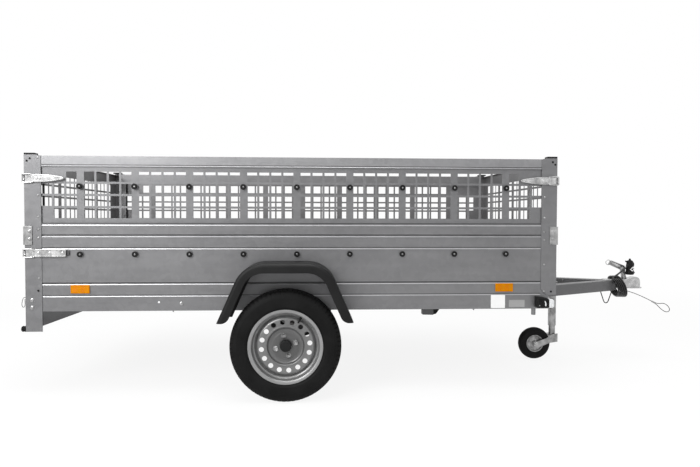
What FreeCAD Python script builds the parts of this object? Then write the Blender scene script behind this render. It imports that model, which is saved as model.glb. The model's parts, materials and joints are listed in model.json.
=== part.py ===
import FreeCAD, Part
import Sketcher
import math
import os

# Utility trailer with mesh side extensions, in millimetres.
# X points forward to the coupling, Y to the left, Z up. The origin lies on the ground,
# halfway between the rear hinge eyes and the coupling's nose.

sizes = {
    # the main lengths
    "boxLength": 2701,
    "boxWidth": 1290,
    "drawbarLength": 835,
    "rearToAxle": 1301,
    # heights, each from the one below it
    "tyreRadius": 272,
    "axleToRail": 151,
    "railHeight": 80,
    "wallHeight": 242,
    "bandHeight": 122,
    "extensionHeight": 456,
    "topRailHeight": 54,
    "swageRise": 61,
    "postRise": 5,
    "rearPostDrop": 101,
    "frontPostDrop": 8,
    # sheet metal of the box
    "railThickness": 2.5,
    "railFlange": 40,
    "sheetThickness": 2,
    "wallHem": 24,
    "hemLip": 14,
    "swageDepth": 5,
    "swageHeight": 8,
    "topRailWidth": 26,
    "meshRecess": 5,
    "postWidth": 82,
    "postThickness": 3,
    "postLap": 40,
    "postCorner": 30,
    "postSlope": 24,
    "capLength": 53,
    "capWidth": 40,
    "capHeight": 9,
    "floorThickness": 9,
    "floorClearance": 1,
    "crossHeight": 60,
    "crossWidth": 40,
    "rearCrossSetback": 40,
    "frontWallGap": 1,
    # square holes of the mesh, in groups between solid bands
    "holeSize": 50,
    "holeWeb": 11,
    "hookSpacing": 270,
    "hookMargin": 274,
    # tarpaulin hooks
    "hookRadius": 15,
    "hookReach": 14,
    "upperHookDrop": 151,
    "lowerHookDrop": 35,
    # gates and their hinges
    "gateInset": 8,
    "gateThickness": 20,
    "gateSideGap": 5,
    "tailgateDrop": 53,
    "tailgateTopGap": 3,
    "tailgateAxisReach": 16,
    "upperGateGap": 7,
    "upperGateDrop": 6,
    "upperAxisReach": 25,
    "axisRise": 15,
    "hingePinRadius": 6,
    "hingeEyeRadius": 10,
    "hingePlay": 0.05,
    "hingeStep": 5,
    "earThickness": 6,
    "earGap": 1,
    "earInboard": 80,
    "hingePlateWidth": 43,
    "hingePlateHeight": 94,
    "hingePlateDrop": 10,
    "hingePlateThickness": 5,
    "hingeStrapHeight": 20,
    # rear end
    "lightBoardThickness": 2,
    "lightBoardSetback": 8,
    "bufferReach": 27,
    "bufferRadius": 15,
    "bufferRise": 12,
    "gussetLength": 195,
    "gussetHeight": 72,
    "lampHeight": 78,
    "lampDepth": 28,
    "lampInset": 90,
    "lampLength": 230,
    "plateWidth": 520,
    "plateHeight": 90,
    # tyres, rims and hubs
    "wheelReach": 110,
    "tyreWidth": 155,
    "tyreFloor": 166,
    "tyrePlay": 0.3,
    "tyreWallStart": 6,
    "tyreWallCurve": 70,
    "tyreShoulder": 22,
    "tyreShoulderIn": 6,
    "tyreShoulderCurve": 24,
    "treadSetback": 18,
    "treadCrown": 2,
    "treadCurve": 900,
    "rimFlangeRadius": 182,
    "rimFlangeWidth": 138,
    "rimSheet": 3,
    "discOffset": 30,
    "discRadius": 146,
    "crownRise": 16,
    "crownOut": 16,
    "crownIn": 17,
    "crownTaper": 1.5,
    "discFlat": 20,
    "ventRadius": 12,
    "ventCircle": 118,
    "ventCount": 16,
    "hubRadius": 34,
    "hubFlangeRadius": 66,
    "hubFlangeThickness": 9,
    "boltCircle": 100,
    "stubRadius": 15,
    "stubPlay": 2,
    "capRadius": 28,
    "hubCapLength": 22,
    # rubber torsion axle
    "beamSize": 60,
    "beamForward": 150,
    "beamDrop": 51,
    "armThickness": 22,
    "armRadius": 29,
    # mudguards
    "guardWidth": 200,
    "guardRise": 132,
    "guardFlat": 104,
    "guardCorner": 150,
    "guardLegAngle": 66,
    "guardFootDrop": 33,
    "guardSheet": 3,
    "guardLip": 46,
    # drawbar
    "armSpread": 320,
    "armMeetBack": 195,
    "headLength": 175,
    "armWidth": 60,
    "armDrop": 67,
    "armTopGap": 2,
    "crossbarBack": 62,
    "crossbarWidth": 40,
    # jockey stand
    "jockeyForward": 253,
    "jockeyRadius": 100,
    "jockeyWidth": 50,
    "jockeyShoulder": 14,
    "jockeyShoulderCurve": 16,
    "jockeyRimRadius": 54,
    "jockeyRimInset": 2,
    "jockeyAxleRadius": 8,
    "legAboveWheel": 58,
    "legLength": 312,
    "legRadius": 20,
    "jockeyTubeRadius": 24,
    "jockeyTubeWall": 2.5,
    "tubeAboveLeg": 54,
    "jockeyTubeLength": 318,
    "forkTrail": 116,
    "forkPlate": 4,
    "forkGap": 62,
    "forkCrown": 6,
    "forkEnd": 12,
    "forkTop": 65,
    "gearHeight": 24,
    "crankLength": 110,
    "crankBar": 6,
    "crankWidth": 14,
    "gripRadius": 10,
    "gripLength": 60,
    "clampHeight": 46,
    "clampWall": 8,
    "clampScrewRadius": 6,
    "clampScrewLength": 36,
    "clampLever": 90,
    # ball coupling
    "headWidth": 60,
    "headHeight": 72,
    "headRise": 19,
    "noseSetback": 10,
    "flangeSheet": 5,
    "flangeWidth": 76,
    "flangeLength": 126,
    "ballRadius": 25.3,
    "ballSetback": 50,
    "socketWall": 5,
    "handleWidth": 26,
    "handleLength": 116,
    "handleRoot": 98,
    "handleRise": 104,
    "handleDepth": 28,
    "ringRadius": 16,
    "ringWire": 2,
    # latches
    "latchPlate": 4,
    "latchLever": 8,
    "latchHeight": 34,
    "bailHeight": 45,
    "bailWire": 6,
    "upperLatchDrop": 107,
    "upperLatchReach": 198,
    "lowerLatchDrop": 30,
    "lowerLatchReach": 205,
    "latchStart": 62,
    # lights, reflectors and pegs on the sides
    "reflectorLength": 93,
    "reflectorHeight": 43,
    "reflectorRise": 32,
    "reflectorDepth": 7,
    "rearReflector": 268,
    "frontReflector": 276,
    "markerHousing": 63,
    "markerLens": 26,
    "markerHeight": 58,
    "markerRise": 10,
    "markerDepth": 45,
    "markerSetback": 114,
    "markerSlope": 12,
    "stubWidth": 22,
    "stubDepth": 30,
    # supply cable, wound round the nose, with its clip and plug
    "cableRadius": 5.5,
    "coilRadius": 63.5,
    "coilWall": 12,
    "coilLength": 70,
    "coilBack": 159.5,
    "coilDrop": 62,
    "coilLean": 18,
    "clipBack": 315.5,
    "clipLength": 26,
    "clipWidth": 20,
    "clipHeight": 22,
    "clipRise": 12,
    "plugBack": 87.5,
    "plugAcross": 29,
    "plugRise": 15,
    "plugFaceRadius": 20,
    "plugFaceHeight": 4,
    "plugRadius": 26,
    "plugHeight": 31,
    "plugWaistRadius": 16,
    "plugWaistHeight": 12,
    "plugNeckRadius": 20,
    "plugNeckHeight": 44,
    "plugTipRadius": 6,
    "plugTipHeight": 13,
    "glandRadius": 10,
    "glandLength": 34,
    "glandSlope": 33,
    # safety wire and the wire hoop under the nose
    "wireRadius": 2,
    "ferruleRadius": 5,
    "ferruleLength": 20,
    "lugLength": 12,
    "lugHeight": 14,
    "lugBack": 155.5,
    "hoopRadius": 2.5,
    "hoopAcross": 8,
    "hoopBack": 270.5,
    "hoopLength": 74,
    "hoopDrop": 82,
}

doc = FreeCAD.newDocument("utilityTrailer")
sheet = doc.addObject("Spreadsheet::Sheet", "sizes")


class Size:
    # a length with the sheet expression that gives it
    def __init__(self, value, text):
        self.value = value
        self.text = text

    def __add__(self, other):
        other = asSize(other)
        return Size(self.value + other.value, f"({self.text} + {other.text})")

    def __sub__(self, other):
        other = asSize(other)
        return Size(self.value - other.value, f"({self.text} - {other.text})")

    def __mul__(self, other):
        other = asSize(other)
        return Size(self.value * other.value, f"({self.text} * {other.text})")

    def __truediv__(self, other):
        other = asSize(other)
        return Size(self.value / other.value, f"({self.text} / {other.text})")

    def __radd__(self, other):
        return asSize(other) + self

    def __rsub__(self, other):
        return asSize(other) - self

    def __rmul__(self, other):
        return asSize(other) * self

    def __neg__(self):
        return asSize(0) - self

    def __float__(self):
        return float(self.value)


def asSize(number):
    if isinstance(number, Size):
        return number
    return Size(float(number), f"({float(number)})")


def rooted(size):
    return Size(math.sqrt(size.value), f"sqrt({size.text})")


def turned(function, degrees):
    # sine or cosine of an angle that the sheet holds in degrees
    radians = math.radians(degrees.value)
    value = math.sin(radians) if function == "sin" else math.cos(radians)
    return Size(value, f"{function}({degrees.text} * 1 deg)")


class Sheet:
    pass


s = Sheet()
for row, (alias, number) in enumerate(sizes.items(), start=1):
    sheet.set(f"A{row}", alias)
    sheet.set(f"B{row}", str(number))
    sheet.setAlias(f"B{row}", alias)
    setattr(s, alias, Size(float(number), f"sizes.{alias}"))
doc.recompute()

# Levels worked out from the sizes
s.railBottom = s.tyreRadius + s.axleToRail
s.floorLevel = s.railBottom + s.railHeight
s.wallSwage = s.floorLevel + s.swageRise
s.wallTop = s.floorLevel + s.wallHeight
s.meshSwage = s.wallTop + s.swageRise
s.meshBottom = s.wallTop + s.bandHeight
s.extensionTop = s.wallTop + s.extensionHeight
s.meshTop = s.extensionTop - s.topRailHeight
s.postTop = s.extensionTop + s.postRise
s.rearPostBottom = s.railBottom - s.rearPostDrop
s.frontPostBottom = s.floorLevel - s.frontPostDrop
s.tailgateBottom = s.floorLevel - s.tailgateDrop
s.tailgateTop = s.wallTop - s.tailgateTopGap
s.tailgateAxisHeight = s.tailgateBottom + s.axisRise
s.upperGateBottom = s.wallTop + s.upperGateGap
s.upperGateTop = s.extensionTop - s.upperGateDrop
s.upperAxisHeight = s.upperGateBottom + s.axisRise
s.hingePlateBottom = s.upperAxisHeight - s.hingePlateDrop
s.hingePlateTop = s.hingePlateBottom + s.hingePlateHeight
s.beamLevel = s.railBottom - s.beamDrop
s.guardTop = s.tyreRadius * 2 + s.guardRise
s.guardFoot = s.railBottom - s.guardFootDrop
s.armBottom = s.floorLevel - s.armDrop
s.armTop = s.floorLevel - s.armTopGap
s.legBottom = s.jockeyRadius + s.legAboveWheel
s.legTop = s.legBottom + s.legLength
s.jockeyTubeBottom = s.legBottom + s.tubeAboveLeg
s.jockeyTubeTop = s.jockeyTubeBottom + s.jockeyTubeLength
s.couplingTop = s.floorLevel + s.headRise
s.couplingBottom = s.couplingTop - s.headHeight
s.ballLevel = s.couplingTop - s.socketWall - s.ballRadius

# Places worked out from the sizes
halfWidth = s.boxWidth / 2
postRear = (s.upperAxisReach + s.hingeEyeRadius - s.boxLength - s.drawbarLength) / 2
postFront = postRear + s.boxLength
axleX = postRear + s.rearToAxle
noseTip = postFront + s.drawbarLength
wallRear = postRear + s.postLap
wallFront = postFront - s.postLap
wheelCentre = halfWidth + s.wheelReach
hookCount = int((s.boxLength.value - 2 * s.hookMargin.value) / s.hookSpacing.value + 0.5) + 1
firstHookX = postRear + (s.boxLength - s.hookSpacing * (hookCount - 1)) / 2
gateHalf = halfWidth - s.gateSideGap - s.postThickness
armSlope = s.armSpread / (s.drawbarLength - s.armMeetBack)
armAcross = s.armWidth / 2 * rooted(1 + armSlope * armSlope)
noseEnd = noseTip - s.headLength
jockeyX = postFront + s.jockeyForward
ballX = noseTip - s.ballSetback
sides = (("right", -1), ("left", 1))

nodes = {}


def bind(thing, **properties):
    for name, size in properties.items():
        thing.setExpression(name.replace("_", "."), asSize(size).text)


def placed(thing, x, y, z):
    bind(thing, Placement_Base_x=x, Placement_Base_y=y, Placement_Base_z=z)
    return thing


def keep(label, thing):
    thing.Label = label
    nodes[label] = thing
    return thing


def span(side, inner, outer):
    # the low and high Y of a piece that lies from inner to outer on one side
    return (side * outer, side * inner) if side < 0 else (side * inner, side * outer)


def between(first, second):
    return sorted((asSize(first), asSize(second)), key=float)


def box(low, high):
    block = doc.addObject("Part::Box", "block")
    bind(block, Length=high[0] - low[0], Width=high[1] - low[1], Height=high[2] - low[2])
    return placed(block, *low)


def cylinder(axis, start, radius, length):
    rod = doc.addObject("Part::Cylinder", "rod")
    rod.Placement.Rotation = FreeCAD.Rotation(FreeCAD.Vector(0, 0, 1), axis)
    bind(rod, Radius=radius, Height=length)
    return placed(rod, *start)


def fuse(pieces):
    union = doc.addObject("Part::MultiFuse", "union")
    union.Shapes = pieces
    return union


def common(pieces):
    overlap = doc.addObject("Part::MultiCommon", "overlap")
    overlap.Shapes = pieces
    return overlap


def cut(base, tool):
    difference = doc.addObject("Part::Cut", "difference")
    difference.Base = base
    difference.Tool = tool
    return difference


def group(pieces):
    compound = doc.addObject("Part::Compound", "set")
    compound.Links = pieces
    return compound


HALF_TURN = "half turn"
AXIS_X = FreeCAD.Vector(1, 0, 0)
AXIS_Y = FreeCAD.Vector(0, 1, 0)
AXIS_Z = FreeCAD.Vector(0, 0, 1)


def planeOf(body, role):
    return next(part for part in body.Origin.OriginFeatures if part.Role == role)


def newSketch(body, plane, offset):
    sketch = body.newObject("Sketcher::SketchObject", "sketch")
    sketch.AttachmentSupport = (planeOf(body, plane), [""])
    sketch.MapMode = "FlatFace"
    # the XZ plane's normal points to -Y
    bind(sketch, AttachmentOffset_Base_z=-asSize(offset) if plane == "XZ_Plane" else offset)
    return sketch


def pinned(sketch, geometry, position, x, y):
    for kind, size in (("DistanceX", x), ("DistanceY", y)):
        size = asSize(size)
        constraint = Sketcher.Constraint(kind, -1, 1, geometry, position, size.value)
        index = sketch.addConstraint(constraint)
        sketch.setExpression(f"Constraints[{index}]", size.text)


def arcMiddle(first, last, radius):
    # the arc bulges to the right of the way from first to last, or to the left if negative
    chord = last - first
    half = chord.Length / 2
    rise = half
    if radius != HALF_TURN:
        rise = abs(radius.value) - math.sqrt(radius.value ** 2 - half ** 2)
    outward = FreeCAD.Vector(chord.y, -chord.x, 0).normalize()
    if radius != HALF_TURN and radius.value < 0:
        outward = -outward
    return (first + last) / 2 + outward * rise


def holdArc(sketch, geometry, point, following):
    # the ends are pinned elsewhere; what is left to fix is how far the arc bulges
    radius = point[2]
    if radius != HALF_TURN:
        reach = radius if radius.value > 0 else -radius
        index = sketch.addConstraint(Sketcher.Constraint("Radius", geometry, reach.value))
        sketch.setExpression(f"Constraints[{index}]", reach.text)
        return
    across = abs(float(following[0]) - float(point[0]))
    along = abs(float(following[1]) - float(point[1]))
    kind, axis = ("DistanceY", 1) if across > along else ("DistanceX", 0)
    middle = (asSize(point[axis]) + following[axis]) / 2
    index = sketch.addConstraint(Sketcher.Constraint(kind, -1, 1, geometry, 3, middle.value))
    sketch.setExpression(f"Constraints[{index}]", middle.text)


def addOutline(sketch, points):
    # a point is (x, y), or (x, y, radius) where an arc leads on to the next point
    corners = [FreeCAD.Vector(float(point[0]), float(point[1]), 0) for point in points]
    joints = []
    for index, point in enumerate(points):
        first = corners[index]
        following = (index + 1) % len(points)
        last = corners[following]
        if len(point) == 2:
            geometry = sketch.addGeometry(Part.LineSegment(first, last), False)
            joints.append((geometry, 1, 2))
            continue
        middle = arcMiddle(first, last, point[2])
        geometry = sketch.addGeometry(Part.Arc(first, middle, last), False)
        forward = sketch.getPoint(geometry, 1).distanceToPoint(first) < 1e-6
        joints.append((geometry, 1, 2) if forward else (geometry, 2, 1))
        holdArc(sketch, geometry, point, points[following])
    for index, (geometry, start, end) in enumerate(joints):
        following, nextStart, _ = joints[(index + 1) % len(joints)]
        sketch.addConstraint(Sketcher.Constraint("Coincident", geometry, end, following, nextStart))
        pinned(sketch, geometry, start, points[index][0], points[index][1])


def addCircle(sketch, x, y, radius):
    centre = FreeCAD.Vector(float(x), float(y), 0)
    geometry = sketch.addGeometry(Part.Circle(centre, AXIS_Z, float(radius)), False)
    index = sketch.addConstraint(Sketcher.Constraint("Radius", geometry, asSize(radius).value))
    sketch.setExpression(f"Constraints[{index}]", asSize(radius).text)
    pinned(sketch, geometry, 3, x, y)


def pad(body, plane, low, high, outlines, circles=()):
    sketch = newSketch(body, plane, low)
    for points in outlines:
        addOutline(sketch, points)
    for circle in circles:
        addCircle(sketch, *circle)
    feature = body.newObject("PartDesign::Pad", "pad")
    feature.Profile = sketch
    feature.Reversed = plane == "XZ_Plane"
    bind(feature, Length=asSize(high) - low)
    return feature


def pocket(body, plane, low, high, outlines, circles=()):
    sketch = newSketch(body, plane, low)
    for points in outlines:
        addOutline(sketch, points)
    for circle in circles:
        addCircle(sketch, *circle)
    feature = body.newObject("PartDesign::Pocket", "pocket")
    feature.Profile = sketch
    feature.Reversed = plane != "XZ_Plane"
    bind(feature, Length=asSize(high) - low)
    return feature


def revolve(body, outline):
    # the outline is (radius, height along Y), turned about the body's Y axis
    sketch = newSketch(body, "XY_Plane", 0)
    addOutline(sketch, outline)
    feature = body.newObject("PartDesign::Revolution", "turning")
    feature.Profile = sketch
    feature.ReferenceAxis = (sketch, ["V_Axis"])
    feature.Angle = 360
    return feature


def newBody():
    return doc.addObject("PartDesign::Body", "body")


def rectangle(low, high):
    return [(low[0], low[1]), (high[0], low[1]), (high[0], high[1]), (low[0], high[1])]


def swage(level, depth):
    # three points of a shallow horizontal groove, as (depth, height)
    half = s.swageHeight / 2
    return [(depth, level - half), (depth + s.swageDepth, level), (depth, level + half)]


def sideOutline(side, points):
    return [(side * (halfWidth - depth), level) for depth, level in points]


def buildFrame():
    thickness = s.railThickness
    rails = []
    for _, side in sides:
        body = newBody()
        outline = [
            (0, s.railBottom),
            (s.railFlange, s.railBottom),
            (s.railFlange, s.railBottom + thickness),
            (thickness, s.railBottom + thickness),
            (thickness, s.floorLevel - thickness),
            (s.railFlange, s.floorLevel - thickness),
            (s.railFlange, s.floorLevel),
            (0, s.floorLevel),
        ]
        pad(body, "YZ_Plane", wallRear, wallFront, [sideOutline(side, outline)])
        rails.append(body)
    keep("side_rails", group(rails))

    reach = halfWidth - s.railFlange
    low = s.floorLevel - s.crossHeight
    members = []
    rearX = postRear + s.rearCrossSetback
    armRear = postFront - (reach - s.armSpread + armAcross) / armSlope
    lastX = armRear - s.crossWidth * 2
    for step in range(4):
        startX = rearX + (lastX - rearX) / 3 * step
        member = newBody()
        outline = [
            (startX, low),
            (startX + s.crossWidth, low),
            (startX + s.crossWidth, low + thickness),
            (startX + thickness, low + thickness),
            (startX + thickness, s.floorLevel - thickness),
            (startX + s.crossWidth, s.floorLevel - thickness),
            (startX + s.crossWidth, s.floorLevel),
            (startX, s.floorLevel),
        ]
        pad(member, "XZ_Plane", -reach, reach, [outline])
        members.append(member)
    keep("crossmembers", group(members))

    floor = newBody()
    inner = halfWidth - s.sheetThickness - s.swageDepth - s.floorClearance
    floorRear = postRear + s.rearCrossSetback
    floorFront = postFront - s.gateInset - s.gateThickness
    pad(floor, "XY_Plane", s.floorLevel, s.floorLevel + s.floorThickness,
        [rectangle((floorRear, -inner), (floorFront, inner))])
    keep("floor_panel", floor)


def buildSideWalls():
    thickness = s.sheetThickness
    walls = []
    for _, side in sides:
        wall = newBody()
        outer = [(0, s.floorLevel)] + swage(s.wallSwage, 0) + [(0, s.wallTop)]
        top = [
            (s.wallHem, s.wallTop),
            (s.wallHem, s.wallTop - s.hemLip),
            (s.wallHem - thickness, s.wallTop - s.hemLip),
            (s.wallHem - thickness, s.wallTop - thickness),
            (thickness, s.wallTop - thickness),
        ]
        inner = swage(s.wallSwage, thickness)[::-1] + [(thickness, s.floorLevel)]
        pad(wall, "YZ_Plane", wallRear, wallFront, [sideOutline(side, outer + top + inner)])
        walls.append(wall)
    keep("side_walls", group(walls))


def meshFace(columns, rows, low, high):
    # a flat sheet in the XZ plane with square holes: columns and rows are their low corners
    outer = Part.makePolygon([
        FreeCAD.Vector(low[0], 0, low[1]), FreeCAD.Vector(high[0], 0, low[1]),
        FreeCAD.Vector(high[0], 0, high[1]), FreeCAD.Vector(low[0], 0, high[1]),
        FreeCAD.Vector(low[0], 0, low[1])])
    wires = [outer]
    size = s.holeSize.value
    for x, rowsHere in columns:
        for row in rowsHere:
            z = rows[row]
            wires.append(Part.makePolygon([
                FreeCAD.Vector(x, 0, z), FreeCAD.Vector(x, 0, z + size),
                FreeCAD.Vector(x + size, 0, z + size), FreeCAD.Vector(x + size, 0, z),
                FreeCAD.Vector(x, 0, z)]))
    return Part.Face(wires, "Part::FaceMakerBullseye")


def meshRows():
    # as many rows of holes as fit, centred between the bottom and the top of the mesh
    step = s.holeSize.value + s.holeWeb.value
    height = s.meshTop.value - s.meshBottom.value
    count = int((height - s.holeWeb.value) / step)
    first = s.meshBottom.value + (height - count * step + s.holeWeb.value) / 2
    return [first + step * row for row in range(count)]


def sideColumns(rowCount):
    # four full columns between hooks; at the ends the outer ones have fewer rows
    step = s.holeSize.value + s.holeWeb.value
    group = 4 * s.holeSize.value + 3 * s.holeWeb.value
    spacing = s.hookSpacing.value
    margin = (spacing - group) / 2
    columns = []
    for gap in range(hookCount - 1):
        start = firstHookX.value + spacing * gap + margin
        columns += [(start + step * column, range(rowCount)) for column in range(4)]
    rowsOfEnd = (range(rowCount), range(rowCount - 1), range(1, rowCount - 1))
    lastHook = firstHookX.value + spacing * (hookCount - 1)
    room = firstHookX.value - wallRear.value - margin - s.holeWeb.value
    for column in range(int(room / step)):
        rowsHere = rowsOfEnd[min(column, 2)]
        back = firstHookX.value - margin - s.holeSize.value - step * column
        columns.append((back, rowsHere))
        columns.append((lastHook + margin + step * column, rowsHere))
    return columns


def buildMeshSides():
    thickness = s.sheetThickness
    rows = meshRows()
    columns = sideColumns(len(rows))
    panels = []
    for _, side in sides:
        # lower band, with its swage, and the hollow top rail
        frame = newBody()
        band = [(0, s.wallTop)] + swage(s.meshSwage, 0) + [
            (0, s.meshBottom),
            (s.meshRecess + thickness, s.meshBottom),
            (s.meshRecess + thickness, s.meshBottom - thickness),
            (thickness, s.meshBottom - thickness),
        ] + swage(s.meshSwage, thickness)[::-1] + [
            (thickness, s.wallTop + thickness),
            (s.wallHem, s.wallTop + thickness),
            (s.wallHem, s.wallTop),
        ]
        pad(frame, "YZ_Plane", wallRear, wallFront, [sideOutline(side, band)])
        rail = newBody()
        outline = [(0, s.meshTop), (0, s.extensionTop), (s.topRailWidth, s.extensionTop),
                   (s.topRailWidth, s.meshTop)]
        hollow = [
            (thickness, s.meshTop + thickness),
            (thickness, s.extensionTop - thickness),
            (s.topRailWidth - thickness, s.extensionTop - thickness),
            (s.topRailWidth - thickness, s.meshTop + thickness),
        ]
        pad(rail, "YZ_Plane", wallRear, wallFront,
            [sideOutline(side, outline), sideOutline(side, hollow)])
        mesh = doc.addObject("Part::Feature", "mesh")
        low = (wallRear.value, s.meshBottom.value)
        high = (wallFront.value, s.meshTop.value)
        mesh.Shape = meshFace(columns, rows, low, high).extrude(
            FreeCAD.Vector(0, thickness.value, 0))
        start, _ = span(side, halfWidth - s.meshRecess - thickness, halfWidth - s.meshRecess)
        placed(mesh, 0, start, 0)
        panels.append(fuse([frame, rail, mesh]))
    keep("mesh_sides", group(panels))


def buildPosts():
    rears = []
    fronts = []
    caps = []
    for _, side in sides:
        low, high = span(side, halfWidth, halfWidth + s.postThickness)
        front = postFront - s.postWidth
        rear = postRear + s.postWidth
        post = newBody()
        outline = [
            (postRear, s.rearPostBottom),
            (rear, s.rearPostBottom),
            (rear, s.extensionTop),
            (rear - s.postSlope, s.postTop),
            (postRear, s.postTop),
        ]
        pad(post, "XZ_Plane", low, high, [outline])
        rears.append(post)
        post = newBody()
        outline = [
            (front + s.postCorner, s.frontPostBottom),
            (postFront, s.frontPostBottom),
            (postFront, s.postTop),
            (front + s.postSlope, s.postTop),
            (front, s.extensionTop),
            (front, s.frontPostBottom + s.postCorner),
        ]
        pad(post, "XZ_Plane", low, high, [outline])
        fronts.append(post)
        low, high = span(side, halfWidth + s.postThickness - s.capWidth, halfWidth + s.postThickness)
        for start in (postRear, postFront - s.capLength):
            caps.append(box((start, low, s.postTop),
                            (start + s.capLength, high, s.postTop + s.capHeight)))
    keep("rear_posts", group(rears))
    keep("front_posts", group(fronts))
    keep("post_caps", group(caps))


def gatePanel(outerX, direction, bottom, top, holes):
    # a sheet with lips turned inward all round; direction points outward along X
    thickness = s.sheetThickness
    inward = -direction
    body = newBody()
    lowX, highX = between(outerX, outerX + inward * s.gateThickness)
    pad(body, "YZ_Plane", lowX, highX, [rectangle((-gateHalf, bottom), (gateHalf, top))])
    innerLow = outerX + inward * thickness
    innerHigh = outerX + inward * (s.gateThickness + thickness)
    cutLow, cutHigh = between(innerLow, innerHigh)
    pocket(body, "YZ_Plane", cutLow, cutHigh,
           [rectangle((-gateHalf + thickness, bottom + thickness),
                      (gateHalf - thickness, top - thickness))])
    if not holes:
        return body
    step = s.holeSize.value + s.holeWeb.value
    group = 4 * s.holeSize.value + 3 * s.holeWeb.value
    spacing = s.hookSpacing.value
    count = int((2 * gateHalf.value - s.holeWeb.value) / spacing)
    solids = []
    for block in range(count):
        start = (block - count / 2) * spacing + (spacing - group) / 2
        for column in range(4):
            for z in meshRows():
                solids.append(Part.makeBox(
                    3 * s.gateThickness.value, s.holeSize.value, s.holeSize.value,
                    FreeCAD.Vector(outerX.value - 1.5 * s.gateThickness.value, start + step * column, z)))
    tool = doc.addObject("Part::Feature", "holes")
    tool.Shape = Part.makeCompound(solids)
    return cut(body, tool)


def hingeEar(axisX, axisZ, rootX, low, high, bore):
    # a plate from rootX to the hinge axis, rounded about it
    body = newBody()
    eye = s.hingeEyeRadius
    top, bottom = axisZ + eye, axisZ - eye
    if rootX.value > axisX.value:
        outline = [(rootX, top), (axisX, top, HALF_TURN), (axisX, bottom), (rootX, bottom)]
    else:
        outline = [(rootX, bottom), (axisX, bottom, HALF_TURN), (axisX, top), (rootX, top)]
    pad(body, "XZ_Plane", low, high, [outline],
        [(axisX, axisZ, s.hingePinRadius + s.hingePlay)] if bore else [])
    return body


def buildGates():
    # the inboard end of each hinge and the ears' places across the trailer
    fixedIn = halfWidth - s.earInboard
    fixedOut = fixedIn + s.earThickness
    movingOut = fixedIn - s.earGap
    movingIn = movingOut - s.earThickness

    def gateEars(faceX, axisX, axisZ):
        pieces = []
        for _, side in sides:
            low, high = span(side, movingIn, movingOut)
            pieces.append(hingeEar(axisX, axisZ, faceX, low, high, True))
        return group(pieces)

    def fixedPin(side, axisX, axisZ):
        low, high = span(side, movingIn - s.earGap, fixedOut)
        return cylinder(AXIS_Y, (axisX, low, axisZ), s.hingePinRadius, high - low)

    tailAxis = postRear - s.tailgateAxisReach
    keep("tailgate", gatePanel(postRear, -1, s.tailgateBottom, s.tailgateTop, False))
    keep("tailgate_ears", gateEars(postRear, tailAxis, s.tailgateAxisHeight))
    brackets = []
    boardX = postRear + s.lightBoardSetback
    for _, side in sides:
        low, high = span(side, fixedIn, fixedOut)
        body = newBody()
        eye = s.hingeEyeRadius
        outline = [
            (boardX, s.railBottom - s.gussetHeight / 2),
            (boardX, s.railBottom),
            (tailAxis + eye, s.railBottom + s.hingeStep),
            (tailAxis + eye, s.tailgateAxisHeight, HALF_TURN),
            (tailAxis - eye, s.tailgateAxisHeight),
        ]
        pad(body, "XZ_Plane", low, high, [outline])
        brackets.append(fuse([body, fixedPin(side, tailAxis, s.tailgateAxisHeight)]))
    keep("tailgate_hinges", group(brackets))

    for end, direction, post in (("rear", -1, postRear), ("front", 1, postFront)):
        face = post - direction * s.gateInset
        axisX = post + direction * s.upperAxisReach
        keep(f"{end}_mesh_gate", gatePanel(face, direction, s.upperGateBottom, s.upperGateTop, True))
        keep(f"{end}_gate_ears", gateEars(face, axisX, s.upperAxisHeight))
        plates = []
        for _, side in sides:
            outside = halfWidth + s.postThickness + s.hingePlateThickness
            lowY, highY = span(side, halfWidth + s.postThickness, outside)
            edge = post + direction * s.hingePlateThickness
            lowX, highX = between(edge, edge - direction * s.hingePlateWidth)
            leaf = box((lowX, lowY, s.hingePlateBottom), (highX, highY, s.hingePlateTop))
            lowY, highY = span(side, fixedIn, outside)
            lowX, highX = between(post, edge)
            strap = box((lowX, lowY, s.hingePlateBottom),
                        (highX, highY, s.hingePlateBottom + s.hingeStrapHeight))
            lowY, highY = span(side, fixedIn, fixedOut)
            ear = hingeEar(axisX, s.upperAxisHeight, edge, lowY, highY, False)
            plates.append(fuse([leaf, strap, ear, fixedPin(side, axisX, s.upperAxisHeight)]))
        keep(f"{end}_hinge_plates", group(plates))


def buildFrontWall():
    thickness = s.sheetThickness
    face = postFront - s.gateInset
    reach = halfWidth - s.wallHem - s.frontWallGap
    wall = newBody()

    def at(points):
        return [(face - depth, level) for depth, level in points]

    outer = [(0, s.floorLevel)] + swage(s.wallSwage, 0) + [(0, s.wallTop)]
    top = [(s.wallHem, s.wallTop), (s.wallHem, s.wallTop - s.hemLip),
           (s.wallHem - thickness, s.wallTop - s.hemLip),
           (s.wallHem - thickness, s.wallTop - thickness), (thickness, s.wallTop - thickness)]
    inner = swage(s.wallSwage, thickness)[::-1] + [(thickness, s.floorLevel)]
    pad(wall, "XZ_Plane", -reach, reach, [at(outer + top + inner)])
    keep("front_wall", wall)


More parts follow.
